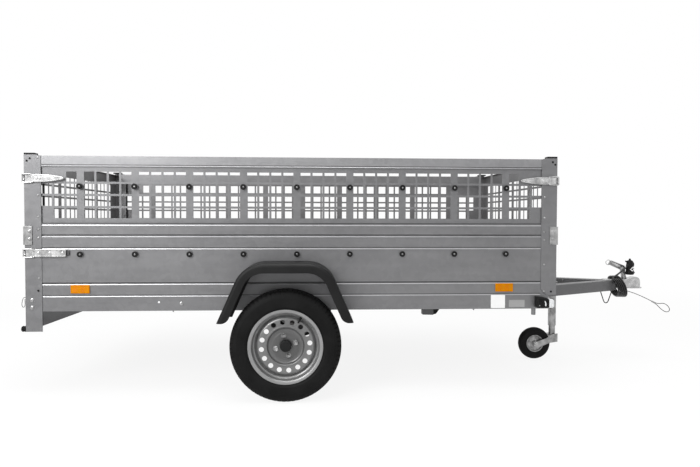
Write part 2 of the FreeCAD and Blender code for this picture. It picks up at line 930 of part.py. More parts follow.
def buildRearEnd():
    board = newBody()
    low = postRear + s.lightBoardSetback
    pad(board, "YZ_Plane", low, low + s.lightBoardThickness,
        [rectangle((-halfWidth, s.rearPostBottom), (halfWidth, s.railBottom))])
    gussets = []
    buffers = []
    lamps = []
    for _, side in sides:
        lowY, highY = span(side, halfWidth - s.railThickness, halfWidth)
        body = newBody()
        start = low + s.lightBoardThickness
        outline = [
            (start, s.railBottom),
            (start, s.rearPostBottom),
            (postRear + s.postWidth, s.railBottom - s.gussetHeight),
            (postRear + s.postWidth + s.gussetLength, s.railBottom),
        ]
        pad(body, "XZ_Plane", lowY, highY, [outline])
        gussets.append(body)
        lampEnd = halfWidth - s.lampInset
        inner, outer = span(side, lampEnd - s.lampLength, lampEnd)
        lampTop = s.railBottom - (s.railBottom - s.rearPostBottom - s.lampHeight) / 2
        lamps.append(box((low - s.lampDepth, inner, lampTop - s.lampHeight), (low, outer, lampTop)))
        centre = side * (halfWidth - s.bufferRadius)
        buffers.append(cylinder(AXIS_X,
                                (postRear - s.bufferReach, centre, s.rearPostBottom + s.bufferRise),
                                s.bufferRadius, s.bufferReach + s.lightBoardSetback))
    keep("rear_light_board", fuse([board] + gussets))
    keep("rear_lamps", group(lamps))
    keep("rear_buffers", group(buffers))
    plateLow = (s.rearPostBottom + s.railBottom - s.plateHeight) / 2
    plate = box((low - s.lightBoardThickness, -s.plateWidth / 2, plateLow),
                (low, s.plateWidth / 2, plateLow + s.plateHeight))
    keep("number_plate_blank", plate)


def guardOutline(inset):
    # half of the arch on each side of the wheel; inset moves it towards the tyre
    sine = turned("sin", s.guardLegAngle)
    cosine = turned("cos", s.guardLegAngle)
    top = s.guardTop - inset
    radius = s.guardCorner - inset
    centreZ = s.guardTop - s.guardCorner
    bendX = s.guardFlat + radius * sine
    bendZ = centreZ + radius * cosine
    footX = bendX + (bendZ - s.guardFoot) * cosine / sine
    return [
        (axleX + footX, s.guardFoot),
        (axleX + bendX, bendZ, radius),
        (axleX + s.guardFlat, top),
        (axleX - s.guardFlat, top, radius),
        (axleX - bendX, bendZ),
        (axleX - footX, s.guardFoot),
    ]


def guardBand(outerInset, innerInset):
    outer = guardOutline(outerInset)
    inner = guardOutline(innerInset)
    back = []
    for index in range(len(inner) - 1, -1, -1):
        # an arc that leads on from the previous point is walked the other way
        x, z = inner[index][0], inner[index][1]
        arc = inner[index - 1] if index > 0 else ()
        back.append((x, z, -arc[2]) if len(arc) == 3 else (x, z))
    return outer + back


def buildGuards():
    for name, side in sides:
        body = newBody()
        sheetLow, sheetHigh = span(side, halfWidth, halfWidth + s.guardWidth)
        pad(body, "XZ_Plane", sheetLow, sheetHigh, [guardBand(asSize(0), s.guardSheet)])
        lipLow, lipHigh = span(side, halfWidth + s.guardWidth - s.guardSheet,
                               halfWidth + s.guardWidth)
        pad(body, "XZ_Plane", lipLow, lipHigh, [guardBand(asSize(0), s.guardLip)])
        lipLow, lipHigh = span(side, halfWidth, halfWidth + s.guardSheet)
        pad(body, "XZ_Plane", lipLow, lipHigh, [guardBand(asSize(0), s.guardLip)])
        keep(f"mudguard_{name}", body)


def buildTyre(name, side):
    tyre = newBody()
    half = s.tyreWidth / 2 - s.tyreShoulderIn
    bead = s.rimFlangeWidth / 2 - s.rimSheet - s.tyrePlay
    tread = s.tyreWidth / 2 - s.treadSetback
    seat = s.tyreFloor + s.tyrePlay
    wall = s.rimFlangeRadius + s.tyreWallStart
    outline = [
        (seat, -bead),
        (wall, -bead, s.tyreWallCurve),
        (s.tyreRadius - s.tyreShoulder, -half, s.tyreShoulderCurve),
        (s.tyreRadius - s.treadCrown, -tread, s.treadCurve),
        (s.tyreRadius - s.treadCrown, tread, s.tyreShoulderCurve),
        (s.tyreRadius - s.tyreShoulder, half, s.tyreWallCurve),
        (wall, bead),
        (seat, bead),
    ]
    revolve(tyre, outline)
    placed(tyre, axleX, side * wheelCentre, s.tyreRadius)
    keep(f"tyre_{name}", tyre)


def buildRim(name, side):
    rim = newBody()
    flange = s.rimFlangeWidth / 2
    sheetOf = s.rimSheet
    barrel = s.tyreFloor
    discFace = s.discOffset
    crown = discFace + s.crownRise
    crownOuter = s.ventCircle + s.crownOut
    crownInner = s.ventCircle - s.crownIn
    discFoot = s.discRadius - sheetOf
    flat = s.boltCircle / 2 + s.discFlat
    outline = [
        (barrel - sheetOf, -side * flange),
        (s.rimFlangeRadius, -side * flange),
        (s.rimFlangeRadius, -side * (flange - sheetOf)),
        (barrel, -side * (flange - sheetOf)),
        (barrel, side * (flange - sheetOf)),
        (s.rimFlangeRadius, side * (flange - sheetOf)),
        (s.rimFlangeRadius, side * flange),
        (barrel - sheetOf, side * flange),
        (barrel - sheetOf, side * discFace),
        (discFoot, side * discFace),
        (crownOuter, side * crown),
        (crownInner, side * crown),
        (flat, side * (discFace + sheetOf)),
        (s.capRadius, side * (discFace + sheetOf)),
        (s.capRadius, side * discFace),
        (flat + s.crownTaper, side * discFace),
        (crownInner + s.crownTaper, side * (crown - sheetOf)),
        (crownOuter - s.crownTaper, side * (crown - sheetOf)),
        (discFoot - s.crownTaper, side * (discFace - sheetOf)),
        (barrel - sheetOf, side * (discFace - sheetOf)),
    ]
    revolve(rim, outline)
    vents = pocket(rim, "XZ_Plane", side * crown - s.ventRadius, side * crown + s.ventRadius, [],
                   [(s.ventCircle, 0, s.ventRadius)])
    doc.recompute()
    pattern = rim.newObject("PartDesign::PolarPattern", "vents")
    pattern.Originals = [vents]
    pattern.Axis = (planeOf(rim, "Y_Axis"), [""])
    pattern.Angle = 360
    bind(pattern, Occurrences=s.ventCount)
    rim.Tip = pattern
    placed(rim, axleX, side * wheelCentre, s.tyreRadius)
    keep(f"rim_{name}", rim)


def buildHub(name, side):
    hub = newBody()
    discFace = s.discOffset
    bore = s.stubRadius + s.hingePlay
    hubEnd = -s.tyreWidth / 2
    flangeBack = discFace - s.hubFlangeThickness
    capSide = s.capRadius - s.tyrePlay
    outline = [
        (bore, side * hubEnd),
        (s.hubRadius, side * hubEnd),
        (s.hubRadius, side * flangeBack),
        (s.hubFlangeRadius, side * flangeBack),
        (s.hubFlangeRadius, side * discFace),
        (capSide, side * discFace),
        (capSide, side * (discFace + s.hubCapLength)),
        (0, side * (discFace + s.hubCapLength)),
        (0, side * (discFace + s.stubPlay)),
        (bore, side * (discFace + s.stubPlay)),
    ]
    revolve(hub, outline)
    placed(hub, axleX, side * wheelCentre, s.tyreRadius)
    keep(f"hub_{name}", hub)


def buildAxle():
    beamX = axleX + s.beamForward
    half = s.beamSize / 2
    armIn = halfWidth - s.railFlange
    pieces = [box((beamX - half, -armIn, s.beamLevel - half),
                  (beamX + half, armIn, s.beamLevel + half))]
    brackets = []
    rise = s.beamLevel - s.tyreRadius
    run = rooted(s.beamForward * s.beamForward + rise * rise)
    alongX = s.beamForward / run
    alongZ = rise / run
    radius = s.armRadius
    for _, side in sides:
        low, high = span(side, halfWidth - s.railFlange, halfWidth - s.railThickness)
        brackets.append(box((beamX - s.beamSize, low, s.beamLevel + half),
                            (beamX + s.beamSize, high, s.railBottom)))
        lowY, highY = span(side, armIn, armIn + s.armThickness)
        arm = newBody()
        outline = [
            (axleX + alongZ * radius, s.tyreRadius - alongX * radius),
            (beamX + alongZ * radius, s.beamLevel - alongX * radius, HALF_TURN),
            (beamX - alongZ * radius, s.beamLevel + alongX * radius),
            (axleX - alongZ * radius, s.tyreRadius + alongX * radius, HALF_TURN),
        ]
        pad(arm, "XZ_Plane", lowY, highY, [outline])
        pieces.append(arm)
        stubLow, stubHigh = span(side, armIn + s.armThickness, wheelCentre + s.discOffset)
        pieces.append(cylinder(AXIS_Y, (axleX, stubLow, s.tyreRadius), s.stubRadius,
                               stubHigh - stubLow))
    keep("torsion_axle", fuse(pieces))
    keep("axle_brackets", group(brackets))


def armEdge(x, offset):
    # distance from the centre line of one edge of a drawbar arm at x
    return s.armSpread - (x - postFront) * armSlope + offset


def buildDrawbar():
    reach = halfWidth - s.railFlange
    innerMeet = noseTip - s.armMeetBack - armAcross / armSlope
    outerRear = postFront - (reach - s.armSpread - armAcross) / armSlope
    innerRear = postFront - (reach - s.armSpread + armAcross) / armSlope
    for name, side in sides:
        arm = newBody()
        outline = [
            (innerRear, side * reach),
            (innerMeet, 0),
            (noseEnd, 0),
            (noseEnd, side * armEdge(noseEnd, armAcross)),
            (outerRear, side * reach),
        ]
        pad(arm, "XY_Plane", s.armBottom, s.armTop, [outline])
        keep(f"drawbar_arm_{name}", arm)
    crossX = jockeyX - s.crossbarBack
    crossbar = newBody()
    ends = [crossX - s.crossbarWidth / 2, crossX + s.crossbarWidth / 2]
    outline = [
        (ends[0], -armEdge(ends[0], -armAcross)),
        (ends[1], -armEdge(ends[1], -armAcross)),
        (ends[1], armEdge(ends[1], -armAcross)),
        (ends[0], armEdge(ends[0], -armAcross)),
    ]
    pad(crossbar, "XY_Plane", s.armBottom, s.armTop, [outline])
    keep("drawbar_crossbar", crossbar)


def buildJockeyTube():
    middle = (s.armBottom + s.armTop) / 2
    clampLow = middle - s.clampHeight / 2
    outer = s.jockeyTubeRadius + s.clampWall
    back = jockeyX - s.crossbarBack + s.crossbarWidth / 2
    clampBody = newBody()
    outline = [(back, -outer), (jockeyX, -outer, HALF_TURN), (jockeyX, outer), (back, outer)]
    pad(clampBody, "XY_Plane", clampLow, clampLow + s.clampHeight, [outline],
        [(jockeyX, 0, s.jockeyTubeRadius + s.hingePlay)])
    screwStart = jockeyX + s.jockeyTubeRadius + s.clampWall / 2
    screw = cylinder(AXIS_X, (screwStart, 0, middle), s.clampScrewRadius, s.clampScrewLength)
    lever = cylinder(AXIS_Z, (screwStart + s.clampScrewLength, 0, middle - s.clampLever / 2),
                     s.clampScrewRadius, s.clampLever)
    keep("jockey_clamp", fuse([clampBody, screw, lever]))

    tube = newBody()
    pad(tube, "XY_Plane", s.jockeyTubeBottom, s.jockeyTubeTop, [],
        [(jockeyX, 0, s.jockeyTubeRadius), (jockeyX, 0, s.jockeyTubeRadius - s.jockeyTubeWall)])
    keep("jockey_tube", tube)
    barLow = s.jockeyTubeTop + s.gearHeight
    half = s.crankWidth / 2
    head = cylinder(AXIS_Z, (jockeyX, 0, s.jockeyTubeTop), s.jockeyTubeRadius, s.gearHeight)
    bar = box((jockeyX - s.crankLength, -half, barLow), (jockeyX + half, half, barLow + s.crankBar))
    grip = cylinder(AXIS_Z, (jockeyX - s.crankLength + s.gripRadius, 0, barLow - s.gripLength),
                    s.gripRadius, s.gripLength)
    keep("jockey_crank", fuse([head, bar, grip]))
    leg = cylinder(AXIS_Z, (jockeyX, 0, s.legBottom), s.legRadius, s.legTop - s.legBottom)
    keep("jockey_leg", leg)


def buildJockeyWheel():
    axisX = jockeyX - s.forkTrail
    axisZ = s.jockeyRadius
    pivot = s.jockeyTubeRadius
    end = s.forkEnd
    top = axisZ + s.forkTop
    plates = []
    for _, side in sides:
        plate = newBody()
        low, high = span(side, s.forkGap / 2, s.forkGap / 2 + s.forkPlate)
        outline = [
            (axisX - end, axisZ - end),
            (axisX + end * 2, axisZ - end * 1.75),
            (jockeyX - pivot, axisZ + end / 2),
            (jockeyX + pivot, axisZ + end),
            (jockeyX + pivot, top),
            (jockeyX - pivot / 3, top - end / 3),
            (jockeyX - pivot * 2, top - end * 2.5),
            (axisX + end, axisZ + end * 1.25),
            (axisX - end, axisZ + end),
        ]
        pad(plate, "XZ_Plane", low, high, [outline])
        plates.append(plate)
    reach = s.forkGap / 2 + s.forkPlate
    crown = box((jockeyX - pivot, -reach, s.legBottom - s.forkCrown),
                (jockeyX + pivot, reach, s.legBottom - s.tyrePlay))
    axle = cylinder(AXIS_Y, (axisX, -reach, axisZ), s.jockeyAxleRadius, 2 * reach)
    keep("jockey_fork", fuse(plates + [crown, axle]))

    wheel = newBody()
    half = s.jockeyWidth / 2
    seat = s.jockeyRimRadius + s.tyrePlay
    corner = s.jockeyShoulder
    outline = [
        (seat, -half),
        (s.jockeyRadius - corner, -half, s.jockeyShoulderCurve),
        (s.jockeyRadius, -half + corner),
        (s.jockeyRadius, half - corner, s.jockeyShoulderCurve),
        (s.jockeyRadius - corner, half),
        (seat, half),
    ]
    revolve(wheel, outline)
    placed(wheel, axisX, 0, axisZ)
    keep("jockey_tyre", wheel)
    rim = newBody()
    inner = s.jockeyAxleRadius + s.hingePlay
    half = half - s.jockeyRimInset
    outline = [(inner, -half), (s.jockeyRimRadius, -half), (s.jockeyRimRadius, half), (inner, half)]
    revolve(rim, outline)
    placed(rim, axisX, 0, axisZ)
    keep("jockey_rim", rim)


def buildCoupling():
    # the pressed head: its side view and its plan in common
    sideView = newBody()
    half = s.headWidth / 2

    def at(profile):
        return [(noseTip - s.headLength * back, s.couplingBottom + s.headHeight * up)
                for back, up in profile]

    pad(sideView, "XZ_Plane", -half, half, [at([
        (1, 0.02), (0.72, 0), (0.05, 0), (0.05, 0.33), (0.11, 0.66), (0.18, 0.92), (0.26, 1),
        (0.36, 0.96), (0.49, 0.85), (0.86, 0.77), (1, 0.74)])])
    plan = newBody()
    roundX = noseTip - s.noseSetback - half
    pad(plan, "XY_Plane", s.couplingBottom, s.couplingTop, [[
        (noseEnd, -half), (roundX, -half, HALF_TURN), (roundX, half), (noseEnd, half)]])
    flange = newBody()
    wide = s.flangeWidth / 2
    tipX = noseTip - wide
    flangeRear = noseTip - s.flangeLength
    pad(flange, "XY_Plane", s.couplingBottom, s.couplingBottom + s.flangeSheet, [[
        (flangeRear, -half), (flangeRear + wide, -wide), (tipX, -wide, HALF_TURN), (tipX, wide),
        (flangeRear + wide, wide), (flangeRear, half)]])
    lugX = noseTip - s.lugBack
    lug = box((lugX, -half - s.lugLength / 2, s.couplingBottom - s.lugLength),
              (lugX + s.lugLength, -half + s.lugLength / 2, s.couplingBottom - s.lugLength + s.lugHeight))
    pressing = fuse([common([sideView, plan]), flange, lug])
    cup = cylinder(AXIS_Z, (ballX, 0, s.couplingBottom - s.flangeSheet), s.ballRadius,
                   s.ballLevel - s.couplingBottom + s.flangeSheet)
    dome = doc.addObject("Part::Sphere", "dome")
    bind(dome, Radius=s.ballRadius)
    placed(dome, ballX, 0, s.ballLevel)
    head = keep("coupling_head", cut(pressing, fuse([cup, dome])))

    lever = newBody()
    rootX = noseTip - s.handleRoot
    top = s.couplingTop
    depth = s.handleDepth
    outline = [
        (rootX, top - depth),
        (rootX - depth * 0.45, top + depth * 0.8),
        (rootX - depth * 0.6, top + depth * 2.5),
        (rootX - s.handleLength + depth / 2, top + s.handleRise),
        (rootX - s.handleLength, top + s.handleRise - depth * 0.9),
        (rootX - depth * 1.35, top + depth * 1.55),
        (rootX - depth * 1.13, top + depth * 0.8),
        (rootX - depth, top - depth),
    ]
    pad(lever, "XZ_Plane", -s.handleWidth / 2, s.handleWidth / 2, [outline])
    ring = newBody()
    ringX = rootX - s.handleLength - s.ringRadius / 4
    ringZ = top + s.handleRise - depth * 0.45
    pad(ring, "XZ_Plane", -s.ringWire, s.ringWire, [],
        [(ringX, ringZ, s.ringRadius + s.ringWire), (ringX, ringZ, s.ringRadius - s.ringWire)])
    keep("coupling_handle", fuse([cut(lever, head), ring]))


def latch(side, edge, inward, level, reach, tapered):
    # a toggle on the corner post: base plate, lever and a bail round the post's edge
    face = halfWidth + s.postThickness
    half = s.latchHeight / 2
    start = edge + inward * s.latchStart
    plateEnd = edge + inward * s.postWidth
    lowX, highX = between(edge + inward * s.bailWire, plateEnd)
    lowY, highY = span(side, face, face + s.latchPlate)
    pieces = [box((lowX, lowY, level - half), (highX, highY, level + half))]
    lever = newBody()
    lowY, highY = span(side, face + s.latchPlate, face + s.latchPlate + s.latchLever)
    tip = edge + inward * reach
    middle = (start + tip) / 2
    if tapered:
        outline = [(start, level - half), (middle, level - half), (tip, level - half / 4),
                   (tip, level + half / 4), (middle, level + half), (start, level + half)]
    else:
        outline = [(start, level - half), (tip, level - half), (tip, level + half),
                   (start, level + half)]
    pad(lever, "XZ_Plane", lowY, highY, [outline])
    pieces.append(lever)
    outerY = face + s.latchPlate + s.latchLever
    for end in (-1, 1):
        lowX, highX = between(edge - inward * s.bailWire, start + inward * s.bailWire)
        lowY, highY = span(side, outerY - s.bailWire, outerY)
        wireZ = level + end * (s.bailHeight - s.bailWire) / 2
        pieces.append(box((lowX, lowY, wireZ - s.bailWire / 2), (highX, highY, wireZ + s.bailWire / 2)))
    lowX, highX = between(edge - inward * s.bailWire, edge)
    lowY, highY = span(side, face - s.postThickness, outerY)
    pieces.append(box((lowX, lowY, level - s.bailHeight / 2), (highX, highY, level + s.bailHeight / 2)))
    return fuse(pieces)


def buildLatches():
    latches = []
    upper = s.extensionTop - s.upperLatchDrop
    lower = s.wallTop - s.lowerLatchDrop
    for _, side in sides:
        latches.append(latch(side, postRear, 1, upper, s.upperLatchReach, True))
        latches.append(latch(side, postFront, -1, upper, s.upperLatchReach, True))
        latches.append(latch(side, postRear, 1, lower, s.lowerLatchReach, False))
    keep("latches", group(latches))


def buildSideFittings():
    hooks = []
    reflectors = []
    housings = []
    lenses = []
    upperHook = s.extensionTop - s.upperHookDrop
    lowerHook = s.wallTop - s.lowerHookDrop
    reflectorLevel = s.floorLevel + s.reflectorRise
    markerLow = s.railBottom + s.markerRise
    markerTop = markerLow + s.markerHeight
    start = postFront - s.markerSetback
    middle = start + s.markerHousing
    for _, side in sides:
        low, high = span(side, halfWidth - s.meshRecess, halfWidth + s.hookReach)
        lowWall, highWall = span(side, halfWidth, halfWidth + s.hookReach)
        for number in range(hookCount):
            x = firstHookX + s.hookSpacing * number
            hooks.append(cylinder(AXIS_Y, (x, low, upperHook), s.hookRadius, high - low))
            hooks.append(cylinder(AXIS_Y, (x, lowWall, lowerHook), s.hookRadius, highWall - lowWall))
        low, high = span(side, halfWidth, halfWidth + s.reflectorDepth)
        for centre in (postRear + s.rearReflector, postFront - s.frontReflector):
            reflectors.append(box(
                (centre - s.reflectorLength / 2, low, reflectorLevel - s.reflectorHeight / 2),
                (centre + s.reflectorLength / 2, high, reflectorLevel + s.reflectorHeight / 2)))
        low, high = span(side, halfWidth, halfWidth + s.markerDepth)
        housing = newBody()
        pad(housing, "XZ_Plane", low, high, [[
            (start, markerLow), (middle, markerLow), (middle, markerTop - s.markerSlope),
            (start, markerTop)]])
        low, high = span(side, halfWidth, halfWidth + s.stubWidth)
        stub = box((start - s.stubWidth / 2, low, s.railBottom - s.stubDepth),
                   (start + s.stubWidth / 2, high, markerLow + s.stubWidth))
        housings.append(fuse([housing, stub]))
        low, high = span(side, halfWidth + s.postThickness, halfWidth + s.markerDepth)
        lenses.append(box((middle, low, markerLow),
                          (middle + s.markerLens, high, markerTop - s.markerSlope)))
    keep("tarp_hooks", group(hooks))
    keep("side_reflectors", group(reflectors))
    keep("marker_lamps", group(housings))
    keep("marker_lenses", group(lenses))


def tube(points, radius, name):
    # straight runs joined by arcs as large as the shorter run at each corner allows
    corners = [FreeCAD.Vector(*(float(value) for value in point)) for point in points]
    edges = []
    last = corners[0]
    radii = []
    for index in range(1, len(corners) - 1):
        corner = corners[index]
        back = corners[index - 1] - corner
        ahead = corners[index + 1] - corner
        reach = 0.45 * min(back.Length, ahead.Length)
        halfTurn = (math.pi - back.getAngle(ahead)) / 2
        bend = reach / math.tan(halfTurn)
        back.normalize()
        ahead.normalize()
        inward = (back + ahead).normalize()
        middle = corner + inward * (math.hypot(reach, bend) - bend)
        start = corner + back * reach
        end = corner + ahead * reach
        edges.append(Part.LineSegment(last, start).toShape())
        edges.append(Part.Arc(start, middle, end).toShape())
        radii.append(round(bend))
        last = end
    edges.append(Part.LineSegment(last, corners[-1]).toShape())
    path = Part.Wire(edges)
    section = Part.Wire(Part.Circle(corners[0], corners[1] - corners[0], float(radius)).toShape())
    thing = doc.addObject("Part::Feature", "tube")
    thing.Shape = path.makePipeShell([section], True, False)
    share = thing.Shape.Volume / (math.pi * float(radius) ** 2 * path.Length)
    print(name, "radii", radii, "length", round(path.Length), "volume", round(share, 3))
    return thing


def fromNose(back, across, up):
    # a point given from the coupling's tip and its top
    return (noseTip - back, asSize(across), s.couplingTop + up)


def buildSupplyCable():
    centreX = noseTip - s.coilBack
    centreZ = s.couplingTop - s.coilDrop
    outer = s.coilRadius + s.coilWall / 2
    lean = outer * turned("sin", s.coilLean) / turned("cos", s.coilLean)
    half = s.coilLength / 2
    sleeve = cut(cylinder(AXIS_X, (centreX - s.coilLength, 0, centreZ), outer, s.coilLength * 2),
                 cylinder(AXIS_X, (centreX - s.coilLength, 0, centreZ), outer - s.coilWall,
                          s.coilLength * 2))
    slant = newBody()
    low, high = centreZ - outer, centreZ + outer
    pad(slant, "XZ_Plane", -outer, outer, [[
        (centreX - half + lean, low), (centreX + half + lean, low),
        (centreX + half - lean, high), (centreX - half - lean, high)]])
    coil = keep("cable_coil", common([sleeve, slant]))

    # the clip lies on the left arm's outer face; the cable leaves it towards the nose
    root = rooted(1 + armSlope * armSlope)
    along = (asSize(1) / root, -armSlope / root)
    outward = (armSlope / root, asSize(1) / root)
    clipX = noseTip - s.clipBack
    corner = (clipX, armEdge(clipX, armAcross))
    ends = [corner, (corner[0] + along[0] * s.clipLength, corner[1] + along[1] * s.clipLength)]
    clip = newBody()
    low = s.armBottom + s.clipRise
    pad(clip, "XY_Plane", low, low + s.clipHeight, [[
        ends[0], ends[1],
        (ends[1][0] + outward[0] * s.clipWidth, ends[1][1] + outward[1] * s.clipWidth),
        (ends[0][0] + outward[0] * s.clipWidth, ends[0][1] + outward[1] * s.clipWidth)]])
    keep("cable_clip", clip)
    start = (ends[1][0] + outward[0] * s.clipWidth / 2, ends[1][1] + outward[1] * s.clipWidth / 2,
             low + s.clipHeight / 2)
    feed = [start,
            (start[0] + along[0] * 36, start[1] + along[1] * 36, start[2]),
            fromNose(219, 80, -69), fromNose(187, 80, -75), fromNose(160, 75, -79), fromNose(136, 62, -80)]
    keep("supply_cable_feed", cut(tube(feed, s.cableRadius, "supply_cable_feed"), coil))

    plugX = noseTip - s.plugBack
    plugY = -s.plugAcross
    level = s.couplingTop + s.plugRise
    pieces = []
    for radius, height in ((s.plugFaceRadius, s.plugFaceHeight), (s.plugRadius, s.plugHeight),
                           (s.plugWaistRadius, s.plugWaistHeight), (s.plugNeckRadius, s.plugNeckHeight),
                           (s.plugTipRadius, s.plugTipHeight)):
        pieces.append(cylinder(AXIS_Z, (plugX, plugY, level), radius, height))
        level = level + height
    glandX = turned("cos", s.glandSlope)
    glandZ = turned("sin", s.glandSlope)
    glandRoot = s.couplingTop + s.plugRise + s.plugFaceHeight + s.plugHeight + s.plugNeckHeight * 0.575
    slope = FreeCAD.Vector(-float(glandX), 0, -float(glandZ))
    pieces.append(cylinder(slope, (plugX, plugY, glandRoot), s.glandRadius, s.glandLength))
    keep("cable_plug", fuse(pieces))
    end = (plugX - glandX * s.glandLength, plugY, glandRoot - glandZ * s.glandLength)
    tail = [(end[0], end[1], end[2]),
            (end[0] - glandX * 22, end[1], end[2] - glandZ * 22),
            fromNose(155.5, -30, 30), fromNose(177.5, -31, 12.5), fromNose(199.5, -32, -7.1)]
    keep("supply_cable_tail", cut(tube(tail, s.cableRadius, "supply_cable_tail"), coil))


def buildSafetyWire():
    lugFront = -s.lugBack + s.lugLength
    stem = [fromNose(-lugFront, -31, -78), fromNose(-lugFront - 12.5, -31, -78),
            fromNose(108, -38, -89), fromNose(83, -43.5, -97), fromNose(53.5, -46, -108), fromNose(20.5, -46, -121.5), fromNose(-15.5, -46, -138),
            fromNose(-46.5, -46, -154)]
    keep("safety_wire", tube(stem, s.wireRadius, "safety_wire"))
    before, last = stem[-2], stem[-1]
    run = math.hypot(float(last[0] - before[0]), float(last[2] - before[2]))
    alongX = float(last[0] - before[0]) / run
    alongZ = float(last[2] - before[2]) / run
    ferrule = cylinder(FreeCAD.Vector(alongX, 0, alongZ), last, s.ferruleRadius, s.ferruleLength)
    keep("safety_ferrule", ferrule)
    middle = (last[0] + s.ferruleLength * alongX, last[2] + s.ferruleLength * alongZ)
    gap = 1.2 * float(s.wireRadius)
    upper = (middle[0] - alongZ * gap, last[1], middle[1] + alongX * gap)
    lower = (middle[0] + alongZ * gap, last[1], middle[1] - alongX * gap)
    loop = [upper, (upper[0] + alongX * 15, upper[1], upper[2] + alongZ * 15)]
    loop += [fromNose(-back, -46, up) for back, up in (
        (99, -168.5), (119, -166), (136, -172), (151, -183), (162, -197), (164, -212),
        (154, -222), (138, -222), (120, -213), (101, -198))]
    loop += [(lower[0] + alongX * 15, lower[1], lower[2] + alongZ * 15), lower]
    keep("safety_wire_loop", tube(loop, s.wireRadius, "safety_wire_loop"))
    low = -(s.couplingTop - s.armBottom)
    bends = ((0, 0), (0, 0.17), (0.22, 0.63), (0.41, 0.99), (0.64, 1), (0.8, 0.63), (1, 0.17), (1, 0))
    hoop = [fromNose(s.hoopBack - s.hoopLength * along, -s.hoopAcross, low - s.hoopDrop * down)
            for along, down in bends]
    keep("wire_hoop", tube(hoop, s.hoopRadius, "wire_hoop"))


buildFrame()
buildSideWalls()
buildMeshSides()
buildPosts()
buildGates()
buildFrontWall()
buildRearEnd()
buildGuards()
for name, side in sides:
    buildTyre(name, side)
    buildRim(name, side)
    buildHub(name, side)
buildAxle()
buildDrawbar()
buildJockeyTube()
buildJockeyWheel()
buildCoupling()
buildLatches()
buildSideFittings()
buildSupplyCable()
buildSafetyWire()
doc.recompute()

for thing in doc.Objects:
    if "Invalid" in thing.State or "Error" in thing.State:
        raise RuntimeError(f"{thing.Label} could not be worked out")
os.makedirs("parts", exist_ok=True)
for label, thing in nodes.items():
    if thing.Shape.isNull() or not thing.Shape.isValid() or not thing.Shape.Solids:
        raise RuntimeError(f"{label} has no valid solid")
for label, thing in nodes.items():
    thing.Shape.exportStep(f"parts/{label}.step")
    print(label, len(thing.Shape.Solids), round(thing.Shape.Volume / 1000))
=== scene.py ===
import json
import math

import bmesh
import bpy
from mathutils import Matrix, Vector


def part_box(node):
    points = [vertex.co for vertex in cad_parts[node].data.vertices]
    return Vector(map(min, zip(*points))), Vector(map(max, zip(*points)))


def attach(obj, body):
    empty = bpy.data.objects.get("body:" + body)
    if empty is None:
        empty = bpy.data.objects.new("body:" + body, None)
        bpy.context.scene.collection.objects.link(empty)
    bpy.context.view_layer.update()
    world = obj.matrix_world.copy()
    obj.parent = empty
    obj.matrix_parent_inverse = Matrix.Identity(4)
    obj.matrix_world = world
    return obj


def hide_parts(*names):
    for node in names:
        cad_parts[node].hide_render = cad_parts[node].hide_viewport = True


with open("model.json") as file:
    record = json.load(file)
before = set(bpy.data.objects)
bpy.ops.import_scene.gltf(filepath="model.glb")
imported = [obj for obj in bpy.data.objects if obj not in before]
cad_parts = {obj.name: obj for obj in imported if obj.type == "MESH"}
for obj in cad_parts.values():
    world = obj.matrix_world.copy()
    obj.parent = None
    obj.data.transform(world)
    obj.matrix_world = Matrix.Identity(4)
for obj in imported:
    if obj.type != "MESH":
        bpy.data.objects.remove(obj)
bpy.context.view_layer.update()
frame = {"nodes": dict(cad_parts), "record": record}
nodes = frame["nodes"]
scene = bpy.context.scene
scene.view_settings.view_transform = "Standard"

# camera, at the photograph's viewing angle
view = {
    "place": (-0.304, -3.568, 0.896), "yaw": 0.0508, "pitch": 0.0277, "roll": 0.0021, "lens": 29.41,
    "shift": 0.00736}
bpy.ops.object.camera_add(location=view["place"])
camera = bpy.context.object
turn = (
    Matrix.Rotation(-view["yaw"], 4, "Z") @ Matrix.Rotation(math.pi / 2 - view["pitch"], 4, "X")
    @ Matrix.Rotation(view["roll"], 4, "Z"))
camera.matrix_world = Matrix.Translation(view["place"]) @ turn
camera.data.lens = view["lens"]
camera.data.sensor_width = 36
camera.data.shift_x = view["shift"]
camera.data.clip_end = 60
scene.camera = camera
print("camera placed")


class Wire:
    # a socket in a material, so that shader maths reads as plain sums
    def __init__(self, tree, socket=None):
        self.tree = tree
        self.socket = socket

    def node(self, kind, settings=None, inputs=None, output=0):
        made = self.tree.nodes.new("ShaderNode" + kind)
        for name, value in (settings or {}).items():
            if name == "stops":
                while len(made.color_ramp.elements) < len(value):
                    made.color_ramp.elements.new(1)
                for element, (place, colour) in zip(made.color_ramp.elements, value):
                    element.position = place
                    element.color = colour
            else:
                setattr(made, name, value)
        for name, value in (inputs or {}).items():
            if isinstance(value, Wire):
                self.tree.links.new(value.socket, made.inputs[name])
            else:
                made.inputs[name].default_value = value
        return Wire(self.tree, made.outputs[output])

    def maths(self, operation, first, second=0.0):
        return self.node("Math", {"operation": operation}, {0: first, 1: second})

    def __add__(self, other):
        return self.maths("ADD", self, other)

    __radd__ = __add__

    def __mul__(self, other):
        return self.maths("MULTIPLY", self, other)

    __rmul__ = __mul__

    def __sub__(self, other):
        return self.maths("SUBTRACT", self, other)

    def __rsub__(self, other):
        return self.maths("SUBTRACT", other, self)

    def above(self, level):
        return self.maths("GREATER_THAN", self, level)

    def below(self, level):
        return self.maths("LESS_THAN", self, level)

    def ramp(self, low, high):
        return self.node("MapRange", {}, {"Value": self, "From Min": low, "From Max": high})

    def blend(self, first, second):
        # this mask picks from the first colour to the second
        return self.node("Mix", {"data_type": "RGBA"}, {0: self, 6: first, 7: second}, 2)


def grey(level, tint=0.0):
    return (level, level, level * (1 + tint), 1)


def camel(name):
    first, *rest = name.split("_")
    return first + "".join(word.title() for word in rest)


